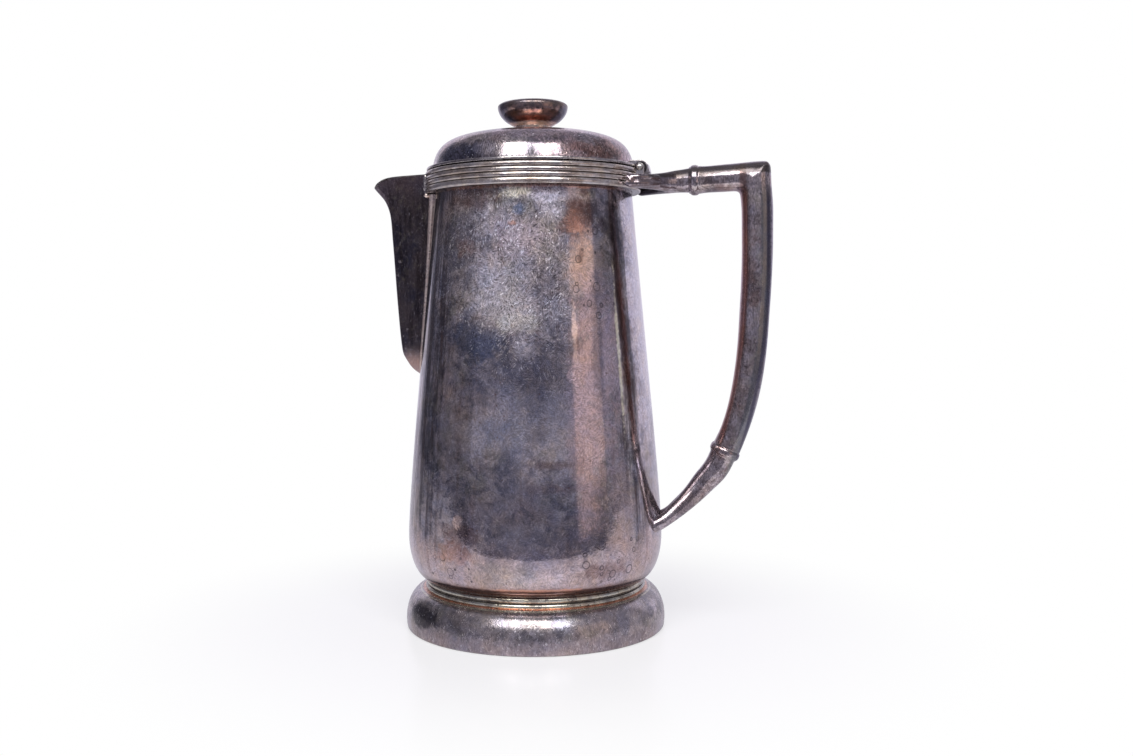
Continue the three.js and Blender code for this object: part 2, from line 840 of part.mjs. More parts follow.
function makeKnob() {
  const widest = knobBottom + knobWidestRise;
  const bowl = smoothOutline(
    [knobBottomRadius, knobBottom],
    [knobBottomRadius + 4.7, knobBottom + 2.1],
    [knobRadius, widest - 3.8],
    [knobRadius, widest],
    6,
  );
  const crown = smoothOutline(
    [knobRadius, widest],
    [knobRadius, knobTop - 0.8],
    [knobTopRadius + 3.3, knobTop],
    [knobTopRadius, knobTop],
    4,
  );
  const boreTop = knobBottom + knobBoreDepth;
  return solid(turned([
    [0, boreTop],
    [studBore, boreTop],
    [studBore, knobBottom],
    ...bowl,
    ...crown.slice(1),
    [0, knobTop],
  ], knobSides));
}

function makeStud() {
  const top = knobBottom + knobBoreDepth - solderGap;
  return solid(turned([
    [0, studBottom],
    [studRadius - 0.3, studBottom],
    [studRadius, studBottom + 0.4],
    [studRadius, top],
    [0, top],
  ], smallSides));
}

function makeWasher() {
  const bottom = washerTop - washerThickness;
  return solid(ring([
    [studBore, bottom],
    [washerRadius, bottom],
    [washerRadius, washerTop],
    [studBore, washerTop],
  ], smallSides));
}

function makeNut() {
  const radius = nutAcrossFlats / 2 / Math.cos(Math.PI / 6);
  const hex = new THREE.CylinderGeometry(radius, radius, nutHeight, 6).rotateX(Math.PI / 2);
  const hole = new THREE.CylinderGeometry(studBore, studBore, nutHeight * 2, smallSides);
  hole.rotateX(Math.PI / 2);
  const middle = nutTop - nutHeight / 2;
  return solid(hex.translate(0, 0, middle)).subtract(solid(hole.translate(0, 0, middle)));
}

// Assembly

function assemble() {
  const blank = makeBodyBlank();
  const spoutSpace = solid(loft(spoutRings(solderGap, true)));
  const vessel = new THREE.Group();
  vessel.add(piece("body_shell", makeBody(blank), "plate"));
  vessel.add(piece("spout_strainer", makeStrainer(blank), "plate"));
  vessel.add(piece("rim_band", makeBand(spoutSpace), "moulding"));
  vessel.add(piece("spout", makeSpout(), "darkPlate"));
  vessel.add(piece("waist_bead", makeBead(), "copper"));
  vessel.add(piece("foot", makeFoot(), "plate"));

  const handle = new THREE.Group();
  const upperNode = point(upperNodeReach, armHeightAt(upperNodeReach));
  const lowerNode = point(lowerNodeReach, lowerNodeHeight);
  handle.add(piece("handle_upper_fork", makeUpperFork(), "casting"));
  handle.add(piece("handle_upper_node", makeNode(upperNode, Math.PI / 2), "casting"));
  handle.add(piece("handle_arm", makeArm(), "casting"));
  handle.add(piece("handle_grip", makeGrip(), "casting"));
  handle.add(piece("handle_lower_node", makeNode(lowerNode, lowerNodeLean), "casting"));
  handle.add(piece("handle_lower_fork", makeLowerFork(), "casting"));

  const hinge = new THREE.Group();
  hinge.add(piece("hinge_bracket", makeBracket(), "moulding"));
  hinge.add(piece("hinge_pin", makePin(), "steel"));

  const lid = new THREE.Group();
  lid.add(piece("lid_dome", makeDome(), "plate"));
  lid.add(piece("lid_flange", makeFlange(), "moulding"));
  lid.add(piece("lid_bezel", makeBezel(), "moulding"));
  lid.add(piece("hinge_leaf", makeLeaf(), "moulding"));
  lid.add(piece("knob_collar", makeCollar(), "copper"));
  lid.add(piece("knob", makeKnob(), "darkCopper"));
  lid.add(piece("knob_stud", makeStud(), "steel"));
  lid.add(piece("knob_washer", makeWasher(), "copper"));
  lid.add(piece("knob_nut", makeNut(), "steel"));

  const pitcher = new THREE.Group();
  pitcher.add(vessel, handle, hinge, lid);

  // Centre the whole length over the origin
  const reach = new THREE.Box3().setFromObject(pitcher);
  pitcher.position.x = -(reach.min.x + reach.max.x) / 2;
  return pitcher;
}

export default assemble();
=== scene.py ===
import math

import bmesh
import bpy
from mathutils import Matrix, Vector


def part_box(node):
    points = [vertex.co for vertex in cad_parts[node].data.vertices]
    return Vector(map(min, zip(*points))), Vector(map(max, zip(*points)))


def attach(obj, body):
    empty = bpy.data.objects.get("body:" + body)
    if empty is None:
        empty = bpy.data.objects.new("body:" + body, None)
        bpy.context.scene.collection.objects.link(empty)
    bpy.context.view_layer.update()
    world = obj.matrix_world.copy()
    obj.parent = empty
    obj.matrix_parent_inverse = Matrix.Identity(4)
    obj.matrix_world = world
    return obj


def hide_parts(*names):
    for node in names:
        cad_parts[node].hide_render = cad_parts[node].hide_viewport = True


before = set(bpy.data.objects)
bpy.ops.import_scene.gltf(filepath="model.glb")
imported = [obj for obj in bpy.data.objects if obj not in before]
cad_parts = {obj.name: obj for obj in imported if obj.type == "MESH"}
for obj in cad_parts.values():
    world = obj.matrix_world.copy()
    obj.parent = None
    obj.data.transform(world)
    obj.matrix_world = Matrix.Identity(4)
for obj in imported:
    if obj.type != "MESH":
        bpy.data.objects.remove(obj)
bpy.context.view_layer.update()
print("frame loaded")

mm = 0.001
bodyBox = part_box("body_shell")
potAxis = (bodyBox[0].x + bodyBox[1].x) / 2


# places and outlines, in millimetres from the pot's axis

def spot(x, y, z):
    return Vector((potAxis + x * mm, y * mm, z * mm))


def lerp(low, high, share):
    return low + (high - low) * share


def bezier(start, startPull, endPull, end, steps):
    made = []
    for step in range(steps + 1):
        t = step / steps
        weights = ((1 - t) ** 3, 3 * t * (1 - t) ** 2, 3 * t * t * (1 - t), t ** 3)
        corners = (start, startPull, endPull, end)
        made.append(tuple(sum(w * c[axis] for w, c in zip(weights, corners)) for axis in range(len(start))))
    return made


def arcPoints(centre, radius, start, end, steps):
    turns = [lerp(start, end, step / steps) for step in range(steps + 1)]
    return [(centre[0] + radius * math.cos(turn), centre[1] + radius * math.sin(turn)) for turn in turns]


def softened(outline, radius, closed=True, steps=5):
    # rounds every corner that turns by more than 24 degrees
    made = []
    count = len(outline)
    for place, here in enumerate(outline):
        middle = Vector(here)
        goIn = middle - Vector(outline[place - 1])
        goOut = Vector(outline[(place + 1) % count]) - middle
        loose = not closed and place in (0, count - 1)
        if loose or min(goIn.length, goOut.length) < 1e-6 or goIn.angle(goOut) < math.radians(24):
            made.append(here)
            continue
        cut = min(radius * math.tan(goIn.angle(goOut) / 2), goIn.length * 0.45, goOut.length * 0.45)
        first = middle - goIn.normalized() * cut
        last = middle + goOut.normalized() * cut
        for step in range(steps + 1):
            t = step / steps
            made.append(tuple(first * (1 - t) ** 2 + middle * 2 * t * (1 - t) + last * t * t))
    return made


def smoothValue(rows, at, column):
    # a monotone curve through rows of [at, value, value ...]
    if at <= rows[0][0]:
        return rows[0][column]
    if at > rows[-1][0]:
        return rows[-1][column]
    place = next(index for index in range(len(rows) - 1) if at <= rows[index + 1][0])
    low, high = rows[place], rows[place + 1]
    rates = [(after[column] - here[column]) / (after[0] - here[0]) for here, after in zip(rows, rows[1:])]

    def slope(index):
        if index <= 0 or index >= len(rows) - 1:
            return rates[min(index, len(rates) - 1)]
        left, right = rates[index - 1], rates[index]
        return 0.0 if left * right <= 0 else 2 * left * right / (left + right)

    width = high[0] - low[0]
    t = (at - low[0]) / width
    return (
        (2 * t ** 3 - 3 * t * t + 1) * low[column]
        + (t ** 3 - 2 * t * t + t) * width * slope(place)
        + (3 * t * t - 2 * t ** 3) * high[column]
        + (t ** 3 - t * t) * width * slope(place + 1)
    )


# node trees written as expressions

def reckoned(operation):
    return lambda wire, other: wire.math(operation, other)


class Wire:
    __add__ = reckoned("ADD")
    __radd__ = reckoned("ADD")
    __sub__ = reckoned("SUBTRACT")
    __mul__ = reckoned("MULTIPLY")
    __rmul__ = reckoned("MULTIPLY")
    __truediv__ = reckoned("DIVIDE")
    most = reckoned("MAXIMUM")

    def __init__(self, sheet, socket):
        self.sheet = sheet
        self.socket = socket

    def also(self, name):
        return Wire(self.sheet, self.socket.node.outputs[name])

    def math(self, operation, *others, clamp=False):
        values = dict(enumerate((self, *others)))
        return self.sheet.node("ShaderNodeMath", {"operation": operation, "use_clamp": clamp}, values)

    def __rsub__(self, other):
        return self.math("MULTIPLY_ADD", -1, other)

    def __abs__(self):
        return self.math("ABSOLUTE")

    def clipped(self):
        return self.math("ADD", 0, clamp=True)

    def swing(self, amount):
        # a noise about its middle value
        return (self - 0.5) * amount

    def rise(self, low, high):
        settings = {"interpolation_type": "SMOOTHSTEP"}
        sockets = {"Value": self, "From Min": low, "From Max": high}
        return self.sheet.node("ShaderNodeMapRange", settings, sockets)

    def fall(self, low, high):
        return 1 - self.rise(low, high)


class Sheet:
    def __init__(self, tree):
        self.tree = tree

    def node(self, kind, settings=None, sockets=None, out=0):
        made = self.tree.nodes.new(kind)
        for key, value in (settings or {}).items():
            setattr(made, key, value)
        for key, value in (sockets or {}).items():
            socket = made.inputs[key]
            if isinstance(value, Wire):
                self.tree.links.new(value.socket, socket)
            elif socket.type == "RGBA" and len(value) == 3:
                socket.default_value = (*value, 1)
            else:
                socket.default_value = value
        return Wire(self, made.outputs[out]) if made.outputs else None

    def vector(self, x=0.0, y=0.0, z=0.0):
        return self.node("ShaderNodeCombineXYZ", None, {0: x, 1: y, 2: z})

    def axes(self, coords):
        split = self.node("ShaderNodeSeparateXYZ", None, {0: coords})
        return split, split.also("Y"), split.also("Z")


def emptyTree(holder):
    holder.use_nodes = True
    holder.node_tree.nodes.clear()
    return holder.node_tree


class Finish(Sheet):
    # a metal finish: patterns in object space, or in the piece's own map where it has one
    def __init__(self, name, mapped=False):
        self.material = bpy.data.materials.new(name)
        super().__init__(emptyTree(self.material))
        self.place = self.node("ShaderNodeTexCoord", out="Object")
        self.flat = self.place.also("UV") if mapped else self.place

    def millimetres(self):
        x, y, z = self.axes(self.place)
        return (x - potAxis) * 1000, y * 1000, z * 1000

    def reach(self):
        # distance from the pot's axis
        x, y, z = self.millimetres()
        return (x * x + y * y).math("SQRT")

    def aroundPot(self):
        # degrees round the pot from the side that faces the viewer, positive towards the handle, and height
        x, y, z = self.millimetres()
        side = x * acrossView[0] + y * acrossView[1]
        front = x * towardView[0] + y * towardView[1]
        self.around, self.height = side.math("ARCTAN2", front) * math.degrees(1), z
        return self.around, self.height

    def stretched(self, coords, scale, shift=(0, 0, 0)):
        return self.node("ShaderNodeMapping", None, {"Vector": coords, "Scale": scale, "Location": shift})

    def cloud(self, size, seed, detail=4.0, roughness=0.55, distortion=0.0, coords=None):
        sockets = {"Vector": coords or self.place, "W": seed, "Scale": 1 / size, "Detail": detail,
                   "Roughness": roughness, "Distortion": distortion}
        return self.node("ShaderNodeTexNoise", {"noise_dimensions": "4D"}, sockets)

    def drawn(self, coords, scale, seed, detail, roughness=0.55):
        # a cloud that is drawn out along its axes
        return self.cloud(1.0, seed, detail, roughness, coords=self.stretched(coords, scale))

    def cells(self, coords, size, randomness=1.0):
        sockets = {"Vector": coords, "Scale": 1 / size, "Randomness": randomness}
        return self.node("ShaderNodeTexVoronoi", None, sockets)

    def based(self, first, second, mask):
        self.colour = plateLook.get(first, first)
        self.coat(second, mask)

    def coat(self, tone, mask):
        # lays a tone of the plate, or a colour, over what is there
        sockets = {0: mask, 6: self.colour, 7: plateLook.get(tone, tone)}
        self.colour = self.node("ShaderNodeMix", {"data_type": "RGBA"}, sockets, out=2)

    def multiplied(self, shade):
        self.colour = self.node("ShaderNodeVectorMath", {"operation": "MULTIPLY"}, {0: self.colour, 1: shade})

    def tint(self, mask, spread):
        # brightness that follows the mask, as far below one as above it
        level = mask * (spread * 2) + (1 - spread)
        self.multiplied(self.vector(level, level, level))

    def warmed(self, size, seed, amount):
        # the colour wanders between warm and cool
        warm = self.cloud(size, seed, 6, 0.66, 0.4) * amount + (1 - amount / 2)
        self.multiplied(self.vector(warm, warm * 0.25 + 0.75, 2 - warm))

    def patch(self, wobble, middle, halfSize, soft, ragged):
        # a soft-edged mark at an angle and a height on the pot
        across = (self.around - middle[0]) / halfSize[0]
        up = (self.height - middle[1]) / halfSize[1]
        away = (across * across + up * up).math("SQRT") + wobble.swing(ragged * 2)
        return away.fall(1 - soft, 1 + soft)

    def patches(self, wobble, soft, ragged, *places):
        # middle, half size and weight of each
        made = 0
        for middle, halfSize, weight in places:
            mask = self.patch(wobble, middle, halfSize, soft, ragged) * weight
            made = mask.most(made)
        return made

    def marked(self, wobble, soft, ragged, marks):
        # lays every mark and returns the dullness that they add
        dull = 0
        for tone, middle, halfSize, strength, matt in marks:
            mask = self.patch(wobble, middle, halfSize, soft, ragged)
            self.coat(tone, mask * strength)
            if matt:
                dull = dull + mask * matt
        return dull

    def curls(self, coords, size, seed, width):
        # fine curling lines where a twisted noise passes its middle value
        return 1 - (abs(self.cloud(size, seed, 2.0, distortion=1.6, coords=coords) - 0.5) / width).clipped()

    def hairlines(self, coords, cell, length, width, seed, low, high):
        # short scratches: a stretched noise turned a different way in each cell
        moved = self.stretched(coords, (1, 1, 1), (seed * 0.37, seed * 0.61, seed * 0.13))
        pick = self.cells(moved, cell).also("Color")
        angle = self.node("ShaderNodeSeparateColor", None, {0: pick}) * 6.283
        sockets = {"Vector": moved, "Angle": angle}
        spun = self.node("ShaderNodeVectorRotate", {"rotation_type": "Z_AXIS"}, sockets)
        return self.drawn(spun, (1 / length, 1 / width, 1 / length), seed, 1.0).rise(low, high)

    def waterMarks(self, coords, cell, radius, line, seed, keep):
        # dried rings: a thin ring about the middle of some of the cells
        moved = self.stretched(coords, (1, 1, 1), (seed * 0.29, seed * 0.41, seed * 0.17))
        found = self.cells(moved, cell, 0.85)
        pick = self.node("ShaderNodeSeparateColor", None, {0: found.also("Color")})
        size = pick.also("Green") * (radius * 0.8) + radius * 0.4
        ring = 1 - (abs(found * cell - size) / line).clipped()
        return ring * pick.rise(keep, keep + 0.02)

    def metal(self, roughness, relief, metallic=1.0):
        # relief is in millimetres
        normal = self.node("ShaderNodeBump", None, {"Height": relief, "Distance": mm, "Strength": 1.0})
        sockets = {"Base Color": self.colour, "Roughness": roughness, "Metallic": metallic, "Normal": normal}
        self.node("ShaderNodeOutputMaterial", None, {0: self.node("ShaderNodeBsdfPrincipled", None, sockets)})
        return self.material


# mesh makers

def linked(name, data):
    made = bpy.data.objects.new(name, data)
    bpy.context.scene.collection.objects.link(made)
    return made


def scratchObject(data):
    return linked(data.name, data)


def dropped(*pieces):
    for piece in pieces:
        bpy.data.objects.remove(piece)


def meshMade(name, mesh):
    data = bpy.data.meshes.new(name)
    mesh.to_mesh(data)
    mesh.free()
    return data


def joined(name, parts):
    whole = bmesh.new()
    for data in parts:
        whole.from_mesh(data)
    return meshMade(name, whole)


def smoothShaded(data, angle=32):
    data.polygons.foreach_set("use_smooth", [True] * len(data.polygons))
    mesh = bmesh.new()
    mesh.from_mesh(data)
    limit = math.radians(angle)
    for edge in mesh.edges:
        if len(edge.link_faces) == 2 and edge.calc_face_angle(0) > limit:
            edge.smooth = False
    mesh.to_mesh(data)
    mesh.free()
    data.update()
    return data


def finished(name, data, tone, body, replaces=(), angle=None):
    # a piece in one finish; without a tone it keeps the materials that its mesh has
    if tone:
        data.materials.clear()
        data.materials.append(finishes[tone])
        data.polygons.foreach_set("material_index", [0] * len(data.polygons))
    if angle:
        smoothShaded(data, angle)
    piece = linked(name, data)
    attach(piece, body)
    if replaces:
        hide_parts(*replaces)


def skinned(name, mesh):
    bmesh.ops.recalc_face_normals(mesh, faces=mesh.faces)
    return smoothShaded(meshMade(name, mesh))


def turned(name, outline, sides=192, closed=True):
    # a turned mesh with its own map: arc length round the pot, and length along the outline
    mesh = bmesh.new()
    layer = mesh.loops.layers.uv.new("map")
    rings = []
    for radius, height in outline:
        if radius < 1e-4:
            rings.append([mesh.verts.new(spot(0, 0, height))] * sides)
            continue
        turns = [math.tau * side / sides for side in range(sides)]
        ring = [(radius * math.cos(turn), radius * math.sin(turn)) for turn in turns]
        rings.append([mesh.verts.new(spot(x, y, height)) for x, y in ring])
    reach = max(radius for radius, _ in outline) * mm
    length = [0.0]
    for low, high in zip(outline, outline[1:] + outline[:1]):
        length.append(length[-1] + math.dist(low, high) * mm)
    for row in range(len(outline) if closed else len(outline) - 1):
        below, above = rings[row], rings[(row + 1) % len(rings)]
        for side in range(sides):
            after = (side + 1) % sides
            corners = ((below[side], side, row), (below[after], side + 1, row),
                       (above[after], side + 1, row + 1), (above[side], side, row + 1))
            kept = {}
            for corner, across, up in corners:
                kept.setdefault(corner, (across / sides * math.tau * reach, length[up]))
            if len(kept) < 3:
                continue
            face = mesh.faces.new(list(kept))
            for loop, uv in zip(face.loops, kept.values()):
                loop[layer].uv = uv
    return skinned(name, mesh)


def lofted(name, rings):
    # a capped skin over rings of points in millimetres, mapped by length round and along
    mesh = bmesh.new()
    layer = mesh.loops.layers.uv.new("map")
    rows = [[mesh.verts.new(spot(*point)) for point in ring] for ring in rings]
    middle = rings[len(rings) // 2]
    count = len(middle)
    around, along = [0.0], [0.0]
    for place in range(count):
        around.append(around[-1] + math.dist(middle[place], middle[(place + 1) % count]) * mm)
    for low, high in zip(rings, rings[1:]):
        along.append(along[-1] + math.dist(low[0], high[0]) * mm)
    for row in range(len(rows) - 1):
        for place in range(count):
            after = (place + 1) % count
            low, high = rows[row], rows[row + 1]
            face = mesh.faces.new([low[place], low[after], high[after], high[place]])
            maps = ((place, row), (place + 1, row), (place + 1, row + 1), (place, row + 1))
            for loop, (across, up) in zip(face.loops, maps):
                loop[layer].uv = (around[across], along[up])
    mesh.faces.new(rows[0])
    mesh.faces.new(rows[-1])
    return skinned(name, mesh)


def settled(piece):
    # the evaluated mesh of an object; the object stays with it, and without its modifiers
    view = bpy.context.evaluated_depsgraph_get()
    view.update()
    ready = piece.evaluated_get(view)
    data = bpy.data.meshes.new_from_object(ready, preserve_all_data_layers=True, depsgraph=view)
    piece.modifiers.clear()
    piece.data = data
    return data


def carved(data, *cutters):
    # the mesh with the room of the cutters taken out of it
    piece = scratchObject(data)
    blocks = [scratchObject(cutter) for cutter in cutters]
    for block in blocks:
        cut = piece.modifiers.new("cut", "BOOLEAN")
        cut.operation = "DIFFERENCE"
        cut.solver = "EXACT"
        cut.object = block
    made = settled(piece)
    dropped(piece, *blocks)
    return made


def bevelled(data, width, angle):
    piece = scratchObject(data)
    bevel = piece.modifiers.new("bevel", "BEVEL")
    bevel.width = width * mm
    bevel.segments = 3
    bevel.limit_method = "ANGLE"
    bevel.angle_limit = math.radians(angle)
    made = settled(piece)
    dropped(piece)
    return made


def tipped(data, centre, turn, axis):
    # moves a turned mesh from the pot's axis to an axis of its own
    back = Matrix.Translation(-spot(0, 0, 0))
    data.transform(Matrix.Translation(spot(*centre)) @ Matrix.Rotation(turn, 4, axis) @ back)
    return data


# Geometry Nodes trees

def growthTree(name, inputs):
    tree = bpy.data.node_groups.new(name, "GeometryNodeTree")
    tree.interface.new_socket("Path", in_out="INPUT", socket_type="NodeSocketGeometry")
    for label, kind in inputs.items():
        tree.interface.new_socket(label, in_out="INPUT", socket_type="NodeSocket" + kind)
    tree.interface.new_socket("Made", in_out="OUTPUT", socket_type="NodeSocketGeometry")
    sheet = Sheet(tree)
    return sheet, sheet.node("NodeGroupInput")


def ended(sheet, geometry):
    real = sheet.node("GeometryNodeRealizeInstances", None, {0: geometry})
    sheet.node("NodeGroupOutput", None, {0: real})
    return sheet.tree


def grown(data, tree, values):
    piece = scratchObject(data)
    made = piece.modifiers.new(tree.name, "NODES")
    made.node_group = tree
    for item in tree.interface.items_tree:
        if item.in_out == "INPUT" and item.name in values:
            made[item.identifier] = values[item.name]
    grew = settled(piece)
    dropped(piece)
    return grew


def drawnBarTree():
    # a bar drawn along a path whose points carry their radius; copies are stacked upward
    inputs = {"Sides": "Int", "Flatness": "Float", "Copies": "Int", "Rise": "Float", "Upright": "Bool"}
    sheet, start = growthTree("drawnBar", inputs)
    step = sheet.vector(z=start.also("Rise"))
    column = sheet.node("GeometryNodeMeshLine", None, {"Count": start.also("Copies"), "Offset": step})
    stack = sheet.node("GeometryNodeInstanceOnPoints", None, {"Points": column, "Instance": start})
    paths = sheet.node("GeometryNodeRealizeInstances", None, {0: stack})
    curve = sheet.node("GeometryNodeMeshToCurve", None, {0: paths})
    radius = sheet.node("GeometryNodeInputNamedAttribute", {"data_type": "FLOAT"}, {"Name": "radius"})
    upright = sheet.node("GeometryNodeSetCurveNormal", {"mode": "Z_UP"}, {0: curve})
    choice = {0: start.also("Upright"), 1: curve, 2: upright}
    chosen = sheet.node("GeometryNodeSwitch", {"input_type": "GEOMETRY"}, choice)
    circle = {"Resolution": start.also("Sides"), "Radius": 1.0}
    section = sheet.node("GeometryNodeCurvePrimitiveCircle", None, circle)
    squeeze = sheet.vector(1.0, start.also("Flatness"), 1.0)
    flat = sheet.node("GeometryNodeTransform", None, {0: section, "Scale": squeeze})
    sockets = {"Curve": chosen, "Profile Curve": flat, "Scale": radius, "Fill Caps": True}
    return ended(sheet, sheet.node("GeometryNodeCurveToMesh", None, sockets))


def piercedTree():
    # holes on a staggered grid, cut out of a plate that lies across X
    inputs = {"Rows": "Int", "Pitch": "Float", "Spread": "Float", "Hole radius": "Float", "Middle": "Vector"}
    sheet, start = growthTree("piercedPlate", inputs)
    pitch, rows = start.also("Pitch"), start.also("Rows")
    pin = {"Vertices": 20, "Radius": start.also("Hole radius"), "Depth": 0.02}
    lying = {0: sheet.node("GeometryNodeMeshCylinder", None, pin), "Rotation": (0, math.pi / 2, 0)}
    hole = sheet.node("GeometryNodeTransform", None, lying)
    joint = sheet.node("GeometryNodeJoinGeometry")
    rise = sheet.vector(z=pitch * 2)
    # three holes in every second row, and two in the rows between
    for across, first in ((0, 1), (-1, 1), (1, 1), (-0.5, 0), (0.5, 0)):
        base = sheet.vector(y=start.also("Spread") * across, z=(rows - 1) * pitch * -0.5 + pitch * first)
        count = (rows + (1 - 2 * first)) / 2
        sockets = {"Count": count, "Start Location": base, "Offset": rise}
        line = sheet.node("GeometryNodeMeshLine", None, sockets)
        placed = sheet.node("GeometryNodeInstanceOnPoints", None, {"Points": line, "Instance": hole})
        sheet.tree.links.new(placed.socket, joint.socket.node.inputs[0])
    moved = sheet.node("GeometryNodeTransform", None, {0: joint, "Translation": start.also("Middle")})
    real = sheet.node("GeometryNodeRealizeInstances", None, {0: moved})
    solids = {"Mesh 1": start, "Mesh 2": real}
    cut = sheet.node("GeometryNodeMeshBoolean", {"operation": "DIFFERENCE"}, solids)
    return ended(sheet, cut)


drawnBar = drawnBarTree()


def barPiece(name, points, radii, sides=40, flatness=1.0, copies=1, rise=0.0, upright=False):
    data = bpy.data.meshes.new(name)
    edges = [(place, place + 1) for place in range(len(points) - 1)]
    data.from_pydata([tuple(spot(*point)) for point in points], edges, [])
    layer = data.attributes.new("radius", "FLOAT", "POINT")
    layer.data.foreach_set("value", [radius * mm for radius in radii])
    values = {"Sides": sides, "Flatness": flatness, "Copies": copies, "Rise": rise * mm, "Upright": upright}
    mesh = bmesh.new()
    mesh.from_mesh(grown(data, drawnBar, values))
    bmesh.ops.remove_doubles(mesh, verts=mesh.verts, dist=1e-7)
    return skinned(name, mesh)


# sizes taken over from the source of the solids, in millimetres

pot = {
    "floorRadius": 49.6, "bellyRadius": 59.0, "bottom": 22.4, "shoulderTop": 42.1, "wall": 1.2,
    "neckRadius": 46.3, "neckBottom": 199.5, "mouth": 210.5, "lean": 4.8, "leanLength": 60.0,
}


def wallOutline(inset):
    belly, neck = pot["bellyRadius"] - inset, pot["neckRadius"] - inset
    floor, top = pot["floorRadius"], pot["shoulderTop"]
    made = []
    for step in range(15):
        angle = step / 14 * math.pi / 2
        drop = top - pot["bottom"] - inset
        made.append((floor + (belly - floor) * math.sin(angle), top - drop * math.cos(angle)))
    pull = (neck + pot["lean"], pot["neckBottom"] - pot["leanLength"])
    return made + bezier((belly, top), (belly, top + 20), pull, (neck, pot["neckBottom"]), 36)[1:]


outerWall = wallOutline(0)


def wallRadius(height):
    for low, high in zip(outerWall, outerWall[1:]):
        if height <= high[1]:
            return lerp(low[0], high[0], min(max((height - low[1]) / (high[1] - low[1]), 0), 1))
    return pot["neckRadius"]


# finishes

cameraTurn = math.radians(12)
towardView = (math.sin(cameraTurn), -math.cos(cameraTurn))
acrossView = (math.cos(cameraTurn), math.sin(cameraTurn))

plateLook = {
    "silver": (0.45, 0.405, 0.435),
    "rose": (0.50, 0.39, 0.395),
    "smoke": (0.13, 0.12, 0.15),
    "black": (0.035, 0.030, 0.040),
    "umber": (0.16, 0.085, 0.07),
    "rust": (0.40, 0.22, 0.17),
    "navy": (0.095, 0.105, 0.16),
    "blue": (0.12, 0.18, 0.32),
    "olive": (0.25, 0.235, 0.185),
    "copper": (0.62, 0.33, 0.24),
    "peach": (0.80, 0.60, 0.54),
    "mauve": (0.60, 0.47, 0.51),
    "lilac": (0.60, 0.56, 0.64),
    "cream": (0.62, 0.58, 0.46),
    "straw": (0.80, 0.73, 0.58),
    "pale": (0.88, 0.84, 0.86),
}


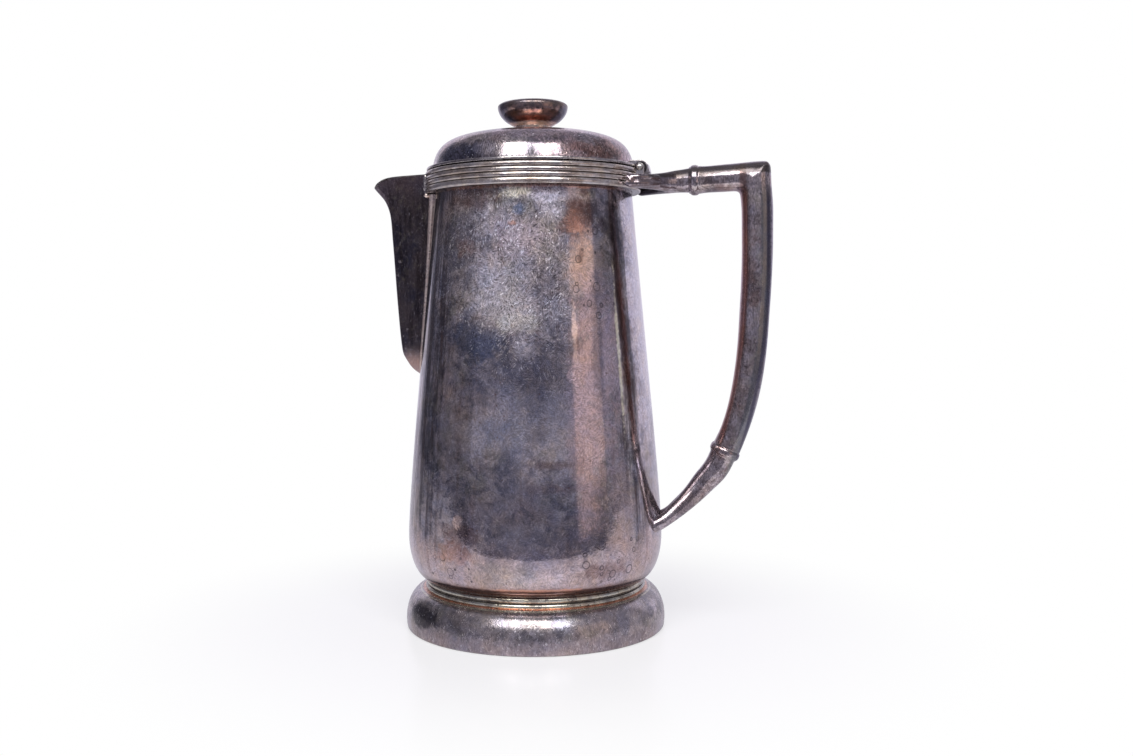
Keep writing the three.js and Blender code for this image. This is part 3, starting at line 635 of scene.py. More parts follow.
bodyMarks = [
    # tone, (degrees, height), (half width, half height), strength, dullness
    ("smoke", (-12, 150), (26, 34), 0.12, 0.06),
    ("navy", (-27, 133), (17, 9), 0.85, 0.0),
    ("navy", (-10, 118), (26, 15), 0.55, 0.0),
    ("smoke", (4, 118), (14, 20), 0.5, 0.0),
    ("lilac", (-5, 130), (5, 4.5), 0.35, 0.12),
    ("lilac", (-12, 106), (13, 7), 0.22, 0.05),
    ("cream", (-14, 147), (12, 7), 0.16, 0.10),
    ("silver", (-14, 150), (15, 12), 0.5, 0.10),
    ("cream", (-8, 140), (9, 4), 0.25, 0.14),
    ("lilac", (-24, 160), (10, 12), 0.30, 0.08),
    ("smoke", (6, 158), (8, 9), 0.5, 0.0),
    ("smoke", (-41, 176), (9, 14), 0.6, 0.0),
    ("rust", (-37, 174), (6, 4), 0.35, 0.0),
    ("umber", (-33, 196), (14, 5), 0.6, 0.0),
    ("mauve", (-8, 180), (14, 8), 0.35, 0.1),
    # painted highlights: the two lamps' reflections just under the band
    ("straw", (-10.5, 197.4), (7, 2.6), 0.95, 0.5),
    ("lilac", (9, 195.0), (11, 2.2), 0.6, 0.25),
    ("copper", (5, 200.2), (60, 1.0), 0.6, 0.1),
    ("blue", (-8, 190), (3.2, 2.8), 0.60, 0.05),
    ("pale", (-23.5, 191.5), (1.4, 1.9), 0.35, 0.15),
    ("rust", (-11, 183.7), (2.6, 1.2), 0.9, 0.1),
    ("lilac", (11, 189), (7, 5), 0.7, 0.15),
    ("umber", (25, 186), (10, 9), 0.75, 0.0),
    ("rust", (22, 183), (6, 5), 0.7, 0.0),
    ("copper", (24.5, 182), (3, 2.5), 0.6, 0.1),
    # painted reflection of the side board: a peach column
    ("peach", (27, 166), (8.5, 14), 0.6, 0.05),
    ("umber", (25, 169), (1.6, 3.0), 0.5, 0.0),
    ("smoke", (29, 132), (5, 7), 0.45, 0.0),
    ("umber", (22, 104), (4, 9), 0.4, 0.0),
    # painted reflection of the side board: mauve
    ("mauve", (24, 92), (8, 26), 0.6, 0.03),
    ("smoke", (24, 58), (10, 20), 0.8, 0.0),
    ("smoke", (28, 100), (5, 12), 0.4, 0.0),
    ("umber", (19, 84), (3, 12), 0.35, 0.0),
    ("smoke", (28, 149.5), (9, 2.8), 0.75, 0.0),
    ("black", (33, 190), (6, 5), 0.5, 0.0),
    # painted reflection of the side board: mauve
    ("mauve", (32, 122), (13, 32), 0.85, 0.05),
    ("smoke", (32, 126), (3, 26), 0.55, 0.0),
    # painted reflection: a bright line along the edge of the side board's reflection
    ("peach", (19.6, 137), (1.3, 9), 0.95, 0.25),
    ("umber", (20.5, 131), (2.4, 3.0), 0.5, 0.0),
    ("smoke", (38, 170), (5, 22), 0.5, 0.05),
    ("black", (46, 182), (5, 13), 0.65, 0.0),
    # painted reflections near the right edge: a cream line from the side stand, a brown strip from the
    # handle, and the pale backdrop along the edge
    ("cream", (45.0, 124), (1.1, 30), 0.75, 0.45),
    ("umber", (50.5, 135), (2.6, 34), 0.8, 0.0),
    ("lilac", (74, 150), (15, 70), 0.9, 0.35),
    ("rose", (40, 60), (7, 22), 0.5, 0.05),
    ("silver", (-20, 93), (15, 8.5), 0.55, 0.1),
    ("lilac", (2, 80), (12, 14), 0.25, 0.08),
    ("blue", (-17, 95), (7, 6), 0.30, 0.0),
    ("silver", (10, 97), (6, 14), 0.6, 0.06),
    ("umber", (9, 80), (9, 1.6), 0.5, 0.0),
    ("umber", (8, 70), (11, 2.6), 0.45, 0.0),
    ("navy", (-6, 58), (29, 21), 0.45, 0.0),
    ("smoke", (14, 55), (16, 12), 0.25, 0.0),
    # painted reflection of the side board: mauve
    ("mauve", (22, 76), (6, 26), 0.5, 0.03),
    ("rust", (-38, 41), (8, 5), 0.6, 0.0),
    ("umber", (-33, 49), (8, 5), 0.5, 0.0),
    ("peach", (-35, 55), (2.0, 2.4), 0.8, 0.1),
    ("umber", (30, 34), (10, 4), 0.5, 0.0),
    ("olive", (-14, 33), (14, 5), 0.25, 0.0),
]


def bodyFinish():
    f = Finish("tarnishedPlate", mapped=True)
    around, height = f.aroundPot()
    mist = f.cloud(0.050, 1.3, 5, 0.6)
    stain = f.cloud(0.014, 7.1, 7, 0.68, 0.5)
    mottle = f.cloud(0.0052, 8.3, 4, 0.65, 0.8)
    grain = f.cloud(0.0010, 3.7, 3, 0.75)
    runs = f.drawn(f.flat, (170, 14, 1), 5.2, 5, 0.62)
    streaks = f.drawn(f.flat, (620, 26, 1), 6.4, 3, 0.6)

    f.based("silver", "rose", mist.rise(0.44, 0.60) * 0.5)
    f.coat("olive", f.cloud(0.020, 14.0, 6, 0.65).rise(0.50, 0.60) * 0.6)
    f.coat("navy", f.cloud(0.022, 11.4, 6, 0.65).rise(0.51, 0.61) * 0.6)
    f.coat("smoke", stain.rise(0.49, 0.60) * 0.55)
    f.coat("umber", runs.rise(0.54, 0.64) * 0.45)
    f.coat("silver", mottle.rise(0.52, 0.64) * 0.7)
    f.coat("smoke", mottle.fall(0.36, 0.48) * 0.65)

    # the plate is thin at the lower shoulder, where the copper warms it
    low = (height + stain.swing(34)).fall(38, 54)
    f.coat("rose", low * 0.7)
    # streaky tarnish on both flanks, laid by the angle from the view and darkest there as a painted dark
    # reflection
    edges = (abs(around + 2) + stain.swing(20)).rise(39, 52)
    edges = edges * (around + stain.swing(8)).fall(55, 60) * (around + mist.swing(60)).rise(-105, -75)
    combed = streaks * 0.5 + runs * 0.5
    f.coat("black", edges * combed.rise(0.42, 0.56) * (1 - low) * 0.7)
    f.coat("umber", edges * streaks.rise(0.56, 0.68) * 0.5)
    wobble = (stain + mottle) * 0.5
    dull = 0.10 + stain.swing(0.35) + mottle.swing(0.2) + f.marked(wobble, 0.5, 2.2, bodyMarks)

    # rubbed all over with short fine strokes, thickest high on the front
    frost = f.patch(stain, (-6, 172), (42, 46), 0.7, 0.8) * (around + mottle.swing(8)).fall(15, 22)
    flick = f.hairlines(f.flat, 0.0050, 0.0026, 0.00031, 3.0, 0.34, 0.66)
    flick2 = f.hairlines(f.flat, 0.0037, 0.0019, 0.00036, 23.0, 0.34, 0.66)
    bright = f.hairlines(f.flat, 0.0042, 0.0019, 0.00036, 13.0, 0.59, 0.68)
    long = f.hairlines(f.flat, 0.024, 0.010, 0.00030, 17.0, 0.69, 0.76)
    worn = f.cloud(0.010, 31.0, 4).rise(0.40, 0.60)
    rubbed = (bright * (frost * 0.55 + 0.22) * (worn * 0.7 + 0.3) + long * 0.4).clipped()
    f.coat("pale", rubbed)
    strokes = ((flick + flick2) * 0.5 - 0.5) * (frost * 0.8 + 0.6) + 0.5
    f.tint(strokes, 0.64)

    # painted shade: dark brown under the body, in the crevice above the bead
    paintedShadeUnder = (height + stain.swing(5)).fall(25.6, 28.4)
    f.coat((0.13, 0.065, 0.05), paintedShadeUnder * 0.85)
    glint = f.patches(mottle, 0.4, 1.0, ((-6, 26.4), (13, 0.9), 1.0), ((13, 26.4), (8, 0.9), 1.0))
    f.coat("copper", glint * 0.8)

    speck = f.cells(f.flat, 0.0030).fall(0.06, 0.17) * f.cloud(0.012, 61.0).rise(0.50, 0.58)
    f.coat("umber", speck * 0.85)
    wet = (((37, 37), (20, 9), 1.0), ((30, 160), (9, 26), 0.7), ((-40, 33), (20, 6), 0.7))
    splash = f.patches(stain, 0.4, 0.8, *wet)
    rings = f.waterMarks(f.flat, 0.0062, 0.0017, 0.00034, 4.0, 0.40)
    rings = rings.most(f.waterMarks(f.flat, 0.0040, 0.0009, 0.00028, 9.0, 0.62))
    rings = rings * splash.rise(0.05, 0.5)
    f.coat((0.06, 0.05, 0.06), rings * 0.95)
    f.warmed(0.013, 71.0, 0.55)
    f.warmed(0.0034, 72.0, 0.22)
    f.tint(grain, 0.38)

    matted = (dull + frost * 0.20 + rubbed * 0.25 - low * 0.02).clipped()
    rough = 0.03 + stain * 0.05 + grain * 0.04 + rubbed * 0.10 + frost * 0.05 + flick * 0.02
    wave = f.cloud(0.026, 21.0, 2) * 0.20 + f.cloud(0.006, 22.0, 3) * 0.035
    dents = f.cloud(0.009, 24.0, 4) * 0.13 * height.fall(62, 90)
    relief = wave + dents + grain * 0.004 + flick2 * 0.003 - speck * 0.02 - rings * 0.01
    return f.metal(rough, relief, 1 - matted.math("MINIMUM", 0.62))


beadLook = {"groove": 19.95, "foot": (17.7, 18.0), "top": (22.1, 22.5)}


def beadFinish():
    # plate left on the reeds, dark in the groove between them and copper along their foot
    f = Finish("wornReeds")
    height = f.millimetres()[2]
    groove = abs(height - beadLook["groove"]).fall(0.10, 0.55)
    stain = f.cloud(0.006, 7.4, 6, 0.65)
    grain = f.cloud(0.0009, 5.4, 3, 0.75)
    f.based((0.50, 0.475, 0.40), (0.21, 0.18, 0.16), stain.rise(0.46, 0.6) * 0.75)
    f.coat((0.66, 0.38, 0.26), (height + stain.swing(1)).fall(*beadLook["foot"]) * 0.9)
    f.coat((0.30, 0.17, 0.13), (height + stain.swing(1)).rise(*beadLook["top"]) * 0.8)
    f.coat((0.06, 0.045, 0.04), groove * 0.85)
    speck = f.cells(f.place, 0.0018).fall(0.14, 0.32)
    f.coat((0.05, 0.045, 0.05), speck * 0.75)
    f.warmed(0.010, 74.0, 0.5)
    f.tint(grain, 0.7)
    return f.metal(grain * 0.12 + 0.14 + speck * 0.1, grain * 0.012 - speck * 0.03, 0.9)


def bandFinish():
    # bright along the crests of the reeds and dark in the grooves
    f = Finish("reededPlate")
    reach = f.reach()
    mist = f.cloud(0.016, 5.0, 5)
    stain = f.cloud(0.005, 9.0, 6, 0.66, coords=f.stretched(f.place, (1, 1, 2.5)))
    grain = f.cloud(0.0008, 14.0, 3, 0.75)
    f.based((0.62, 0.56, 0.52), (0.25, 0.20, 0.185), (mist * 0.4 + stain * 0.6).rise(0.44, 0.58) * 0.75)
    f.coat((0.055, 0.042, 0.038), (reach + stain.swing(0.6)).fall(49.75, 50.25))
    f.warmed(0.010, 73.0, 0.6)
    f.tint(grain, 0.65)
    return f.metal(0.15 + stain * 0.14 + grain * 0.06, stain * 0.07 + grain * 0.010, 0.93)


footMarks = {
    "dark": [("black", (-58, 10), (12, 4.5), 0.85, 0), ("black", (60, 11), (3.5, 2.5), 0.8, 0)],
    "pale": [("silver", (45, 12), (20, 6), 0.5, 0), ("silver", (-24, 13), (16, 4), 0.4, 0)],
}


def footFinish():
    f = Finish("footPlate")
    height = f.aroundPot()[1]
    reach = f.reach()
    mist = f.cloud(0.030, 2.3, 5, 0.6)
    stain = f.cloud(0.009, 6.1, 7, 0.68, 0.5)
    grain = f.cloud(0.0009, 11.7, 3, 0.75)
    mottle = f.cloud(0.0035, 8.9, 4, 0.65, 0.8)
    f.based((0.44, 0.39, 0.40), (0.10, 0.09, 0.10), (mist * 0.4 + stain * 0.6).rise(0.44, 0.57) * 0.75)
    f.coat("olive", f.cloud(0.012, 14.6, 5).rise(0.50, 0.62) * 0.4)
    f.coat("smoke", mottle.fall(0.38, 0.52) * 0.6)
    f.coat((0.30, 0.245, 0.26), (height + stain.swing(9)).fall(4, 9) * 0.7)
    f.marked(stain, 0.2, 1.2, footMarks["dark"])
    f.marked(stain, 0.5, 1.4, footMarks["pale"])
    inner = (reach + stain.swing(1.6)).fall(51.9, 52.9)
    f.coat((0.66, 0.36, 0.25), inner * 0.85)
    ledge = abs(reach + stain.swing(0.6) - 53.4).fall(0.15, 0.6)
    f.coat("cream", ledge * 0.6)
    flick = f.hairlines(f.place, 0.0045, 0.0022, 0.00040, 6.0, 0.34, 0.66)
    rubbed = f.cloud(0.008, 33.0).rise(0.38, 0.58)
    bright = f.hairlines(f.place, 0.0040, 0.0016, 0.00040, 26.0, 0.60, 0.70) * rubbed
    f.coat("pale", bright * 0.35)
    pits = f.cells(f.place, 0.0017).fall(0.12, 0.34) * f.cloud(0.008, 8.0).rise(0.40, 0.56)
    f.coat((0.05, 0.045, 0.05), pits * 0.25)
    f.tint(flick, 0.22)
    f.warmed(0.010, 75.0, 0.5)
    f.tint(grain, 0.25)
    rough = 0.15 + stain * 0.10 + grain * 0.05 + bright * 0.12
    ripple = f.drawn(f.place, (120, 120, 420), 38.0, 3, 0.6)
    relief = stain * 0.08 + ripple * 0.05 + mottle * 0.02 + grain * 0.006 - pits * 0.02
    metallic = 1 - ((stain - 0.35) * 0.5 + 0.06 + bright * 0.2).clipped()
    return f.metal(rough, relief, metallic)


lidMarks = [
    ("navy", (-50, 216), (17, 4.5), 0.85, 0),
    ("smoke", (-30, 216), (14, 4.5), 0.6, 0),
    ("lilac", (-26, 217), (7, 2.5), 0.5, 0),
    # painted reflection: the dark gap between the two lamps' highlights
    ("smoke", (0, 217), (5, 5), 0.6, 0),
    ("rust", (31, 216), (12, 3.4), 0.55, 0),
    ("umber", (46, 217), (13, 5), 0.6, 0),
    ("rose", (20, 213.8), (9, 1.4), 0.9, 0),
    ("umber", (40, 214.2), (10, 2.0), 0.6, 0),
    ("mauve", (6, 225), (38, 3), 0.5, 0),
]


def lidFinish():
    f = Finish("lidPlate")
    f.aroundPot()
    mist = f.cloud(0.026, 3.3, 5, 0.6)
    stain = f.cloud(0.008, 7.6, 7, 0.66, 0.5)
    mottle = f.cloud(0.0034, 9.6, 4, 0.65, 0.8)
    grain = f.cloud(0.0009, 12.7, 3, 0.75)
    f.based((0.46, 0.40, 0.405), (0.40, 0.29, 0.31), mist.rise(0.43, 0.58) * 0.8)
    f.coat("olive", f.cloud(0.014, 15.6, 5).rise(0.50, 0.60) * 0.4)
    f.coat("smoke", stain.rise(0.50, 0.60) * 0.5)
    f.coat("smoke", mottle.fall(0.36, 0.48) * 0.45)
    f.marked(stain, 0.4, 1.6, lidMarks)
    flick = f.hairlines(f.place, 0.0040, 0.0018, 0.00036, 36.0, 0.34, 0.66)
    rubbed = f.cloud(0.008, 36.0).rise(0.40, 0.6)
    bright = f.hairlines(f.place, 0.0040, 0.0014, 0.00036, 46.0, 0.60, 0.70) * rubbed
    f.coat("pale", bright * 0.4)
    speck = f.cells(f.place, 0.0020).fall(0.08, 0.22) * f.cloud(0.01, 66.0).rise(0.45, 0.55)
    f.coat("black", speck * 0.7)
    f.tint(flick, 0.5)
    f.warmed(0.009, 77.0, 0.45)
    f.tint(grain, 0.4)
    rough = 0.10 + stain * 0.09 + grain * 0.05 + bright * 0.14
    relief = mist * 0.12 + stain * 0.045 + mottle * 0.02 + grain * 0.006 - speck * 0.03
    metallic = 1 - ((stain - 0.4) * 0.5 + 0.04 + bright * 0.25).clipped()
    return f.metal(rough, relief, metallic)


hingeLook = {"reach": 51.2, "height": 210.9, "knuckle": 2.45, "pin": 1.66, "knuckleEnd": (4.22, 4.35)}


def hingeFinish():
    # painted shade darkens where the knuckles run beside each other, and round the head of the pin
    f = Finish("hingePlate")
    x, y, z = f.millimetres()
    across = x - hingeLook["reach"]
    up = z - hingeLook["height"]
    reach = (across * across + up * up).math("SQRT")
    stain = f.cloud(0.0035, 15.0, 5, 0.62)
    grain = f.cloud(0.0008, 24.0, 3, 0.7)
    f.based((0.62, 0.58, 0.56), (0.26, 0.22, 0.21), stain.rise(0.45, 0.60) * 0.6)
    middle = abs(y).fall(*hingeLook["knuckleEnd"])
    gap = abs(reach - hingeLook["knuckle"]).fall(0.30, 0.55) * middle
    line = abs(reach - hingeLook["pin"]).fall(0.05, 0.20) * (1 - middle) * 0.7
    f.coat((0.025, 0.02, 0.02), gap.most(line) * 0.92)
    f.tint(grain, 0.4)
    return f.metal(0.10 + stain * 0.10, stain * 0.02)


spoutLook = {"toe": (119, 130), "top": (192, 208), "rim": (0.35, 0.8)}


def spoutFinish():
    f = Finish("spoutPlate", mapped=True)
    height = f.millimetres()[2]
    mist = f.cloud(0.018, 4.3, 6, 0.65)
    runs = f.drawn(f.place, (420, 420, 45), 8.8, 4, 0.65)
    mottle = f.cloud(0.0034, 9.9, 4, 0.65, 0.8)
    grain = f.cloud(0.0009, 13.7, 3, 0.75)
    f.based((0.125, 0.10, 0.105), (0.055, 0.055, 0.085), mist.rise(0.44, 0.58) * 0.8)
    f.coat((0.035, 0.026, 0.028), runs.rise(0.48, 0.60) * 0.6)
    f.coat((0.20, 0.15, 0.17), (height + mist.swing(30)).rise(*spoutLook["top"]) * 0.6)
    f.coat((0.17, 0.15, 0.12), mottle.rise(0.54, 0.66) * 0.6)
    toe = (height + mist.swing(10)).fall(*spoutLook["toe"])
    f.coat((0.50, 0.34, 0.30), toe * 0.8)
    scratch = f.hairlines(f.place, 0.0060, 0.0022, 0.00030, 5.0, 0.63, 0.71)
    scratch = scratch.most(f.hairlines(f.place, 0.0050, 0.0012, 0.0006, 15.0, 0.68, 0.74))
    f.coat((0.50, 0.45, 0.46), scratch * 0.65)
    rim = f.axes(f.flat)[1]
    worn = (rim * 1000 + mottle.swing(1.6)).fall(*spoutLook["rim"])
    f.coat((0.46, 0.43, 0.38), worn * grain.rise(0.40, 0.55) * 0.8)
    f.warmed(0.012, 78.0, 0.5)
    f.tint(grain, 0.7)
    metallic = 1 - (mottle - 0.25).clipped() * 0.5
    return f.metal(0.12 + mist * 0.12 + grain * 0.08, mist * 0.12 + mottle * 0.02 + grain * 0.010, metallic)


knobLook = {"crown": (239.4, 241.2), "cupGlint": 236.6, "band": 234.6, "foot": (232.9, 234.0)}


def knobFinish():
    f = Finish("knobCopper")
    around, height = f.aroundPot()
    stain = f.cloud(0.005, 8.3, 6, 0.66, 0.5)
    grain = f.cloud(0.0008, 15.7, 3, 0.75)
    f.based((0.34, 0.23, 0.21), (0.06, 0.055, 0.06), stain.rise(0.43, 0.56) * 0.85)
    # painted dark reflection: the knob's sides, turned from the view, are darkened bluish
    f.coat((0.10, 0.11, 0.16), abs(around).rise(40, 62) * 0.7)
    crown = (height + stain.swing(3)).rise(*knobLook["crown"])
    f.coat((0.20, 0.165, 0.16), crown * 0.8)
    # painted glints: copper on the cup and the band, only on the side towards the view
    cupGlint = abs(height + stain.swing(2) - knobLook["cupGlint"]).fall(0.6, 1.8)
    f.coat((0.40, 0.20, 0.13), cupGlint * abs(around).fall(30, 60) * 0.5)
    band = abs(height + stain.swing(1.6) - knobLook["band"]).fall(0.5, 1.5)
    f.coat((0.46, 0.16, 0.09), band * abs(around).fall(26, 50) * 0.85)
    foot = (height + stain.swing(1.2)).fall(*knobLook["foot"])
    f.coat((0.95, 0.76, 0.62), foot * 0.9)
    f.warmed(0.006, 79.0, 0.7)
    f.tint(grain, 0.8)
    relief = stain * 0.06 + grain * 0.012 + crown * grain * 0.03
    return f.metal(0.11 + stain * 0.08 + grain * 0.07 + crown * 0.1, relief, 0.93 - foot * 0.45)


castLook = {
    "armStart": 61, "armRoot": 204.3, "armSlope": 0.0425, "node": 75.5, "mitre": 97.5,
    "grip": 103.3, "gripBend": 165, "gripCurve": 0.0019,
}


def castFinish():
    f = Finish("handlePlate")
    mist = f.cloud(0.020, 6.3, 5, 0.6)
    stain = f.cloud(0.006, 10.1, 7, 0.68, 0.5)
    mottle = f.cloud(0.0026, 8.1, 4, 0.65, 0.8)
    grain = f.cloud(0.0008, 15.7, 3, 0.75)
    f.based((0.46, 0.40, 0.42), (0.15, 0.115, 0.125), (mist * 0.4 + stain * 0.6).rise(0.44, 0.56) * 0.75)
    f.coat((0.24, 0.15, 0.13), f.cloud(0.009, 16.6, 5).rise(0.53, 0.62) * 0.4)
    f.coat((0.54, 0.48, 0.45), f.cloud(0.011, 18.6, 5).rise(0.54, 0.64) * 0.45)
    f.coat((0.08, 0.065, 0.065), mottle.fall(0.34, 0.46) * 0.55)
    pits = f.cells(f.place, 0.0014).fall(0.12, 0.34) * f.cloud(0.007, 9.0).rise(0.44, 0.58)
    f.coat((0.05, 0.042, 0.045), pits * 0.6)
    flick = f.hairlines(f.place, 0.0040, 0.0018, 0.00038, 48.0, 0.34, 0.66)
    f.tint(flick, 0.3)
    along, y, height = f.millimetres()
    # painted shadow: the far prong, on the side away from the view, is laid black
    darkened = y.rise(3, 6) * along.fall(60, 64) * height.rise(190, 195)
    f.coat("black", darkened * 0.85)
    seamy = abs(along - castLook["mitre"]).fall(0.8, 2.2) * height.rise(150, 165)
    f.coat((0.17, 0.085, 0.07), seamy * 0.6)
    # painted shade: the side of the arm towards the view is darkened over its upper half, where the lamps'
    # reflection falls, so that only a thin line of that reflection is left
    level = height - ((along - castLook["armStart"]) * castLook["armSlope"] + castLook["armRoot"])
    lift = level - along.rise(76, 104) * 1.1 + stain.swing(1.8)
    top = level.rise(4.7, 5.8)
    front = y.fall(-1, 2) * along.rise(54, 58)
    ring = abs(along - castLook["node"]).fall(1.8, 2.8)
    kept = (lift + along.rise(95, 101) * 1.5).rise(0.6, 1.7) - abs(lift - 4.0).fall(0.4, 1.2)
    kept = kept.clipped() * (1 - top) * front * (1 - ring * 0.7)
    f.coat((0.070, 0.058, 0.055), kept * 0.9)
    f.coat((0.17, 0.145, 0.13), (lift.rise(2.0, 2.8) - kept - top).clipped() * front * 0.85)
    # the grip is red-brown along its inner side, dark along its outer side, and has a painted pale reflection
    # on both edges
    down = (castLook["gripBend"] - height).most(0)
    across = along - castLook["grip"] + down * down * castLook["gripCurve"]
    bare = height.fall(196, 204) * along.rise(84, 88)
    side = (across + mottle.swing(1.2)).fall(-4.4, -3.2) * bare
    f.coat((0.30, 0.15, 0.125), side * 0.8)
    outer = across + mottle.swing(0.8)
    f.coat((0.17, 0.172, 0.185), outer.rise(1.6, 2.6) * bare * 0.85)
    f.coat((0.065, 0.055, 0.095), outer.rise(4.1, 5.0) * bare * 0.75)
    f.coat((0.40, 0.37, 0.345), abs(across - 1.2).fall(0.8, 2.2) * bare * mottle.rise(0.45, 0.6) * 0.6)
    # painted reflection: pale along both edges of the grip
    paleEdgeReflection = abs(across + mottle.swing(1.4)).rise(5.7, 6.7)
    f.coat((0.52, 0.47, 0.52), paleEdgeReflection * bare * mottle.rise(0.30, 0.55) * 0.45)
    # painted reflection: a pale line along the top edge of the arm
    rim = level.rise(5.2, 6.2) * along.rise(58, 62)
    f.coat((0.46, 0.40, 0.43), rim * 0.7)
    f.warmed(0.008, 70.0, 0.4)
    f.tint(grain, 0.5)
    rough = 0.09 + stain * 0.12 + grain * 0.08 + kept * 0.10
    relief = stain * 0.022 + mottle * 0.004 + grain * 0.002 - pits * 0.010
    metallic = 1 - ((stain - 0.4) * 0.4 + 0.03 + rim * 0.3).clipped()
    return f.metal(rough, relief, metallic)


def simplePlate(name, colour, dark, size, rough, pit, seed, spread=0.6, pale=0.3, relief=1.0):
    f = Finish(name)
    mist = f.cloud(size * 3, seed, 5, 0.6)
    stain = f.cloud(size, seed + 4, 6, 0.65, 0.4)
    grain = f.cloud(0.0010, seed + 9, 3, 0.7)
    f.based(colour, dark, (mist * 0.45 + stain * 0.55).rise(0.42, 0.60) * spread)
    scour = f.curls(f.place, 0.0036, seed + 41, 0.04) * f.cloud(0.01, seed + 31).rise(0.38, 0.6)
    f.coat("pale", scour * pale)
    darkened = f.cells(f.place, 0.0019).fall(0.10, 0.30) * f.cloud(0.008, seed + 6).rise(0.45, 0.6)
    f.coat(dark, darkened * pit)
    f.tint(grain, 0.55)
    height = stain * 0.05 + grain * 0.010 - darkened * 0.05 * pit + scour * 0.006
    return f.metal(stain * 0.12 + grain * 0.08 + (rough - 0.08) + scour * 0.22, height * relief)


plainPlates = {
    # name, colour, dark colour, size of the stains, roughness, pits, seed, spread, pale lines, relief
    "inside": ("insidePlate", (0.46, 0.43, 0.42), (0.22, 0.19, 0.18), 0.02, 0.36, 0.3, 9.0),
    "flange": ("flangePlate", (0.58, 0.54, 0.52), (0.17, 0.14, 0.13), 0.005, 0.14, 0.2, 5.0, 0.6, 0.2, 0.4),
    "copper": ("wornCopper", (0.80, 0.64, 0.52), (0.16, 0.10, 0.08), 0.0035, 0.20, 0.3, 7.0),
    "seam": ("solderSeam", (0.92, 0.78, 0.68), (0.52, 0.37, 0.30), 0.006, 0.26, 0.1, 12.0, 0.35, 0.1, 0.2),
    "steel": ("dullPin", (0.56, 0.54, 0.51), (0.2, 0.18, 0.17), 0.003, 0.20, 0.2, 10.0, 0.5, 0.2, 0.4),
}
finishes = {key: simplePlate(*settings) for key, settings in plainPlates.items()}
finishes.update({
    "body": bodyFinish(),
    "foot": footFinish(),
    "bead": beadFinish(),
    "lid": lidFinish(),
    "spout": spoutFinish(),
    "band": bandFinish(),
    "hinge": hingeFinish(),
    "casting": castFinish(),
    "knob": knobFinish(),
})
print("finishes mixed")


# body, bead and foot

body = {"sides": 224, "lip": 3.0, "lipRadius": 0.35, "floorRadius": 0.5, "skin": 0.62}
slotSize = {"halfWidth": 6.0, "top": 20.5, "bottom": 82.5, "reach": (-64, -40)}
strainer = {"gap": 0.1, "inset": 0.05, "rows": 64, "columns": 9, "holeRows": 13, "pitch": 4.1, "spread": 3.6,
            "hole": 1.4, "reach": -51}
bead = {
    "low": 17.35, "high": 22.62, "inside": 46.0, "middle": 50.25, "top": 49.75,
    "reeds": ((17.4, 2.4), (20.1, 2.45)),
}
foot = {
    "outer": ((60.2, 3.5), (60.3, 10.5), (57.4, 17.1), (51.6, 17.6)),
    "inner": ((60.2, 3.5), (60.3, 10.2), (57.2, 15.6), (51.6, 16.0)),
    "wall": 1.6, "ring": (56.3, 59.5), "edge": [(59.85, 0.35), (60.05, 1.4)], "lip": 57.9,
    "bore": 45.5, "top": 17.75, "step": 50.2, "ceiling": 16.0,
}


def makeBody():
    bottom, mouth, wall = pot["bottom"], pot["mouth"], pot["wall"]
    neck, lip = pot["neckRadius"], mouth - body["lip"]
    rim = [(neck, lip), (neck, mouth), (neck - wall, mouth), (neck - wall, lip)]
    edge = softened([(0.01, bottom)] + outerWall[:2], body["floorRadius"], closed=False)
    outline = [(0, bottom)] + edge[1:-1] + outerWall[1:]
    outline += softened(rim, body["lipRadius"], closed=False) + wallOutline(wall)[::-1] + [(0, bottom + wall)]
    data = turned("bodyShell", outline, body["sides"], closed=False)
    data.materials.append(finishes["body"])
    data.materials.append(finishes["inside"])
    for polygon in data.polygons:
        out = math.hypot(polygon.center.x - potAxis, polygon.center.y) / mm
        height = polygon.center.z / mm
        inside = out < wallRadius(height) - body["skin"] and height > bottom + body["floorRadius"]
        polygon.material_index = int(inside)
    half = slotSize["halfWidth"]
    slot = arcPoints((0, mouth - slotSize["top"] - half), half, 0, math.pi, 16)
    slot += arcPoints((0, mouth - slotSize["bottom"] + half), half, math.pi, math.tau, 16)
    plug = lofted("plug", [[(x, y, z) for y, z in slot] for x in slotSize["reach"]])
    finished("bodyShell", carved(data, plug), None, "pitcher", ["body_shell"], 32)


def makeStrainer():
    # a plate that fills the slot behind the spout, following the wall
    half = slotSize["halfWidth"] - strainer["gap"]
    low = pot["mouth"] - slotSize["bottom"] + strainer["gap"]
    high = pot["mouth"] - slotSize["top"] - strainer["gap"]
    rings = []
    for row in range(strainer["rows"] + 1):
        height = lerp(low, high, 0.5 - 0.5 * math.cos(math.pi * row / strainer["rows"]))
        edge = min(height - low, high - height, half)
        width = math.sqrt(max(half ** 2 - (half - edge) ** 2, 0.01))
        front, back = [], []
        for column in range(strainer["columns"] + 1):
            y = width * (column / strainer["columns"] * 2 - 1)
            for line, inset in ((front, strainer["inset"]), (back, pot["wall"] - strainer["inset"])):
                line.append((-math.sqrt((wallRadius(height) - inset) ** 2 - y * y), y, height))
        rings.append(front + back[::-1])
    middle = tuple(spot(strainer["reach"], 0, (low + high) / 2))
    values = {"Rows": strainer["holeRows"], "Pitch": strainer["pitch"] * mm,
              "Spread": strainer["spread"] * mm, "Hole radius": strainer["hole"] * mm, "Middle": middle}
    data = grown(lofted("strainer", rings), piercedTree(), values)
    finished("strainerPlate", data, "inside", "pitcher", ["spout_strainer"], 32)


